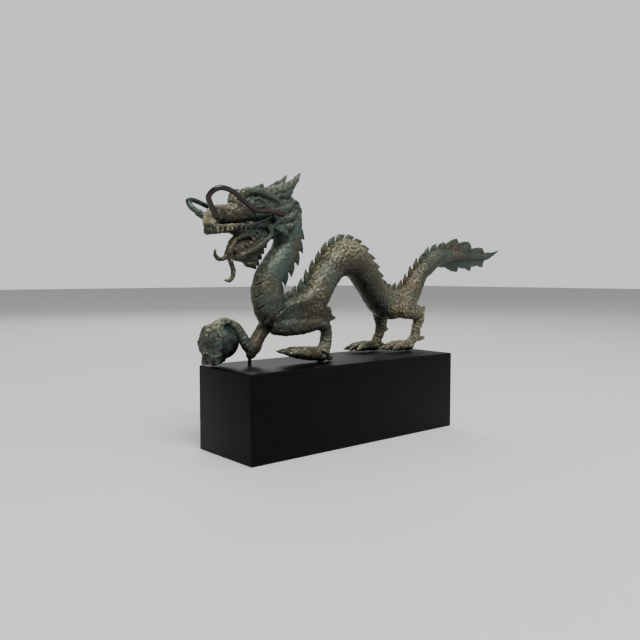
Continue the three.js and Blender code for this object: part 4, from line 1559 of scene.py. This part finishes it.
@dataclass
class Whisker:
    """A bent rod set in the nose and swept back along the head, with a collar where it enters."""

    name: str
    node: str
    slot: str
    line: tuple[Station, ...]
    root: float = 4.0
    end: float = 3.0
    socket: float = 4.5
    ring: float = 0.12
    sleeve: float = 0.0

    def build(self, material: bpy.types.Material) -> None:
        """Makes the rod.

        Args:
            material: its finish.
        """
        last = len(self.line) - 1
        radii = [(self.root + (self.end - self.root) * i / last) / 2 for i in range(last + 1)]
        stations = [[*point, radius] for point, radius in zip(self.line, radii, strict=True)]
        x, y, z = self.line[0]
        inner = (x + 2.2, y * 0.35, z - 1.2)
        rod = bmesh.new()

        def collar(frames: Frames, angle: Array) -> Array:
            """Swells the rod a little where it leaves the nose and rounds its far end.

            Args:
                frames: the limb's frames.
                angle: angles round its section.

            Returns:
                The height, in mm.
            """
            leaves, rounding = self.socket + 4, 1.2
            ring = self.ring * bell(frames.walked, leaves, 0.7)
            sleeve = self.sleeve * ramp(frames.walked, leaves + 1.2, leaves)
            left = np.clip((frames.walked[-1] - frames.walked) / rounding, 0, 1)
            tip = -0.8 * frames.width * (1 - np.sqrt(left))
            return np.repeat((ring + sleeve + tip)[:, None], len(angle), axis=1)

        add_limb(rod, [[*inner, self.root / 2], *stations], 28, 220, side=(0.3, 1, 0.2), relief=collar)
        dress(finish_mesh(self.name, rod), material, self.slot, self.node)


@dataclass
class Plinth:
    """The block that the figure stands on, with eased edges and a blind hole for the pin."""

    length: float = 200.0
    width: float = 66.0
    height: float = 61.0
    ease: float = 1.2
    hole: tuple[float, float, float] = (-73.6, 7.4, 1.6)
    hole_depth: float = 14.3

    def build(self, material: bpy.types.Material) -> None:
        """Makes the block.

        Args:
            material: its finish.
        """
        block = bmesh.new()
        bmesh.ops.create_cube(block, size=1.0)
        bmesh.ops.scale(block, verts=block.verts, vec=Vector((self.length, self.width, self.height)) * MM)
        bmesh.ops.translate(block, verts=block.verts, vec=(0, 0, self.height / 2 * MM))
        bmesh.ops.bevel(
            block,
            geom=list(block.edges),
            offset=self.ease * MM,
            offset_type="OFFSET",
            segments=5,
            profile=0.5,
            affect="EDGES",
            material=-1,
        )
        plinth = finish_mesh("plinth_block", block)
        drill = bmesh.new()
        x, y, radius = self.hole
        bmesh.ops.create_cone(
            drill,
            segments=32,
            radius1=radius * MM,
            radius2=radius * MM,
            depth=self.hole_depth * 2 * MM,
            cap_ends=True,
        )
        bmesh.ops.translate(drill, verts=drill.verts, vec=Vector((x, y, self.height)) * MM)
        cutter = finish_mesh("drill", drill)
        cut = plinth.modifiers.new("pin_hole", "BOOLEAN")
        cut.operation = "DIFFERENCE"
        cut.solver = "EXACT"
        cut.object = cutter
        bake_modifiers(plinth)
        bpy.data.objects.remove(cutter)
        plinth.data.shade_smooth()
        plinth.data.set_sharp_from_angle(angle=math.radians(35))
        dress(plinth, material, "black_wood", "plinth")


@dataclass
class Studio:
    """Camera at the photograph's angle, a pale sheet and soft lights."""

    place: tuple[float, float, float] = (-0.3538, -0.4036, 0.1249)
    yaw: float = 49.94
    pitch: float = -3.657
    lens: float = 39.375

    def camera(self) -> None:
        """Adds the camera."""
        data = bpy.data.cameras.new("camera")
        data.lens = self.lens
        data.sensor_width = 36
        data.clip_start = 0.01
        data.clip_end = 20
        yaw, pitch = math.radians(self.yaw), math.radians(self.pitch)
        view = Vector((math.cos(yaw) * math.cos(pitch), math.sin(yaw) * math.cos(pitch), math.sin(pitch)))
        camera = bpy.data.objects.new("camera", data)
        camera.location = self.place
        camera.rotation_euler = view.to_track_quat("-Z", "Y").to_euler()
        bpy.context.scene.collection.objects.link(camera)
        bpy.context.scene.camera = camera

    def lamp(self, name: str, place: Station, size: float, power: float) -> None:
        """Adds a soft square light aimed at the sculpture.

        Args:
            name: its name.
            place: where it hangs, in metres.
            size: its side, in metres.
            power: its power, in watts.
        """
        data = bpy.data.lights.new(name, "AREA")
        data.size = size
        data.energy = power
        lamp = bpy.data.objects.new(name, data)
        lamp.location = place
        aim = Vector((0.02, 0, 0.11)) - Vector(place)
        lamp.rotation_euler = aim.to_track_quat("-Z", "Y").to_euler()
        bpy.context.scene.collection.objects.link(lamp)

    def build(self) -> None:
        """Makes the studio."""
        self.camera()
        sheet = bmesh.new()
        bmesh.ops.create_grid(sheet, x_segments=4, y_segments=4, size=6.0)
        floor = finish_mesh("floor", sheet)
        floor.data.materials.append(StagePaper().build())
        self.lamp("key", (-0.35, -0.75, 1.35), 0.7, 24)
        self.lamp("fill", (1.0, -1.1, 0.9), 1.2, 5)
        self.lamp("rim", (0.5, 1.2, 1.1), 1.0, 10)
        world = bpy.data.worlds.new("studio")
        world.use_nodes = True
        sky = world.node_tree.nodes["Background"]
        sky.inputs[0].default_value = linear("eef0f2")
        seen = add_node(world.node_tree, "LightPath").outputs["Is Camera Ray"]
        strength = add_node(world.node_tree, "MapRange", {VALUE: seen, LEAST: 0.5, MOST: 1.0})
        world.node_tree.links.new(strength.outputs[0], sky.inputs[1])
        bpy.context.scene.world = world


def main() -> None:
    """Builds the scene piece by piece."""
    logging.basicConfig(level=logging.INFO, format="%(message)s")
    Studio().build()
    bronze = PatinatedBronze().build()
    brown_rod = SmoothMetal("drawn_brown_bronze", "0b0907", "301a12", 12, 0.3, 0.15).build()
    green_rod = SmoothMetal("drawn_green_bronze", "222c27", "4a594e", 5).build()
    ball = SmoothMetal("polished_dark_bronze", "141a18", "404f46", 5, roughness=0.44).build()
    steel = SmoothMetal("blackened_steel", "12110f", "2a2723", roughness=0.45, metallic=0.8).build()
    Trunk().build(bronze)
    Tail().build(bronze)
    Head().build(bronze)
    Legs().build(bronze, ball)
    Whisker("near_whisker", "whisker_left", "brown_bronze", NEAR_LINE).build(brown_rod)
    Whisker("far_whisker", "whisker_right", "green_bronze", FAR_LINE, ring=0.3, sleeve=0.5).build(green_rod)
    Plinth().build(BlackPaintedWood().build())
    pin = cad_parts["mounting_pin"]
    pin.data.materials.clear()
    pin.data.materials.append(steel)


if __name__ == "__main__":
    main()
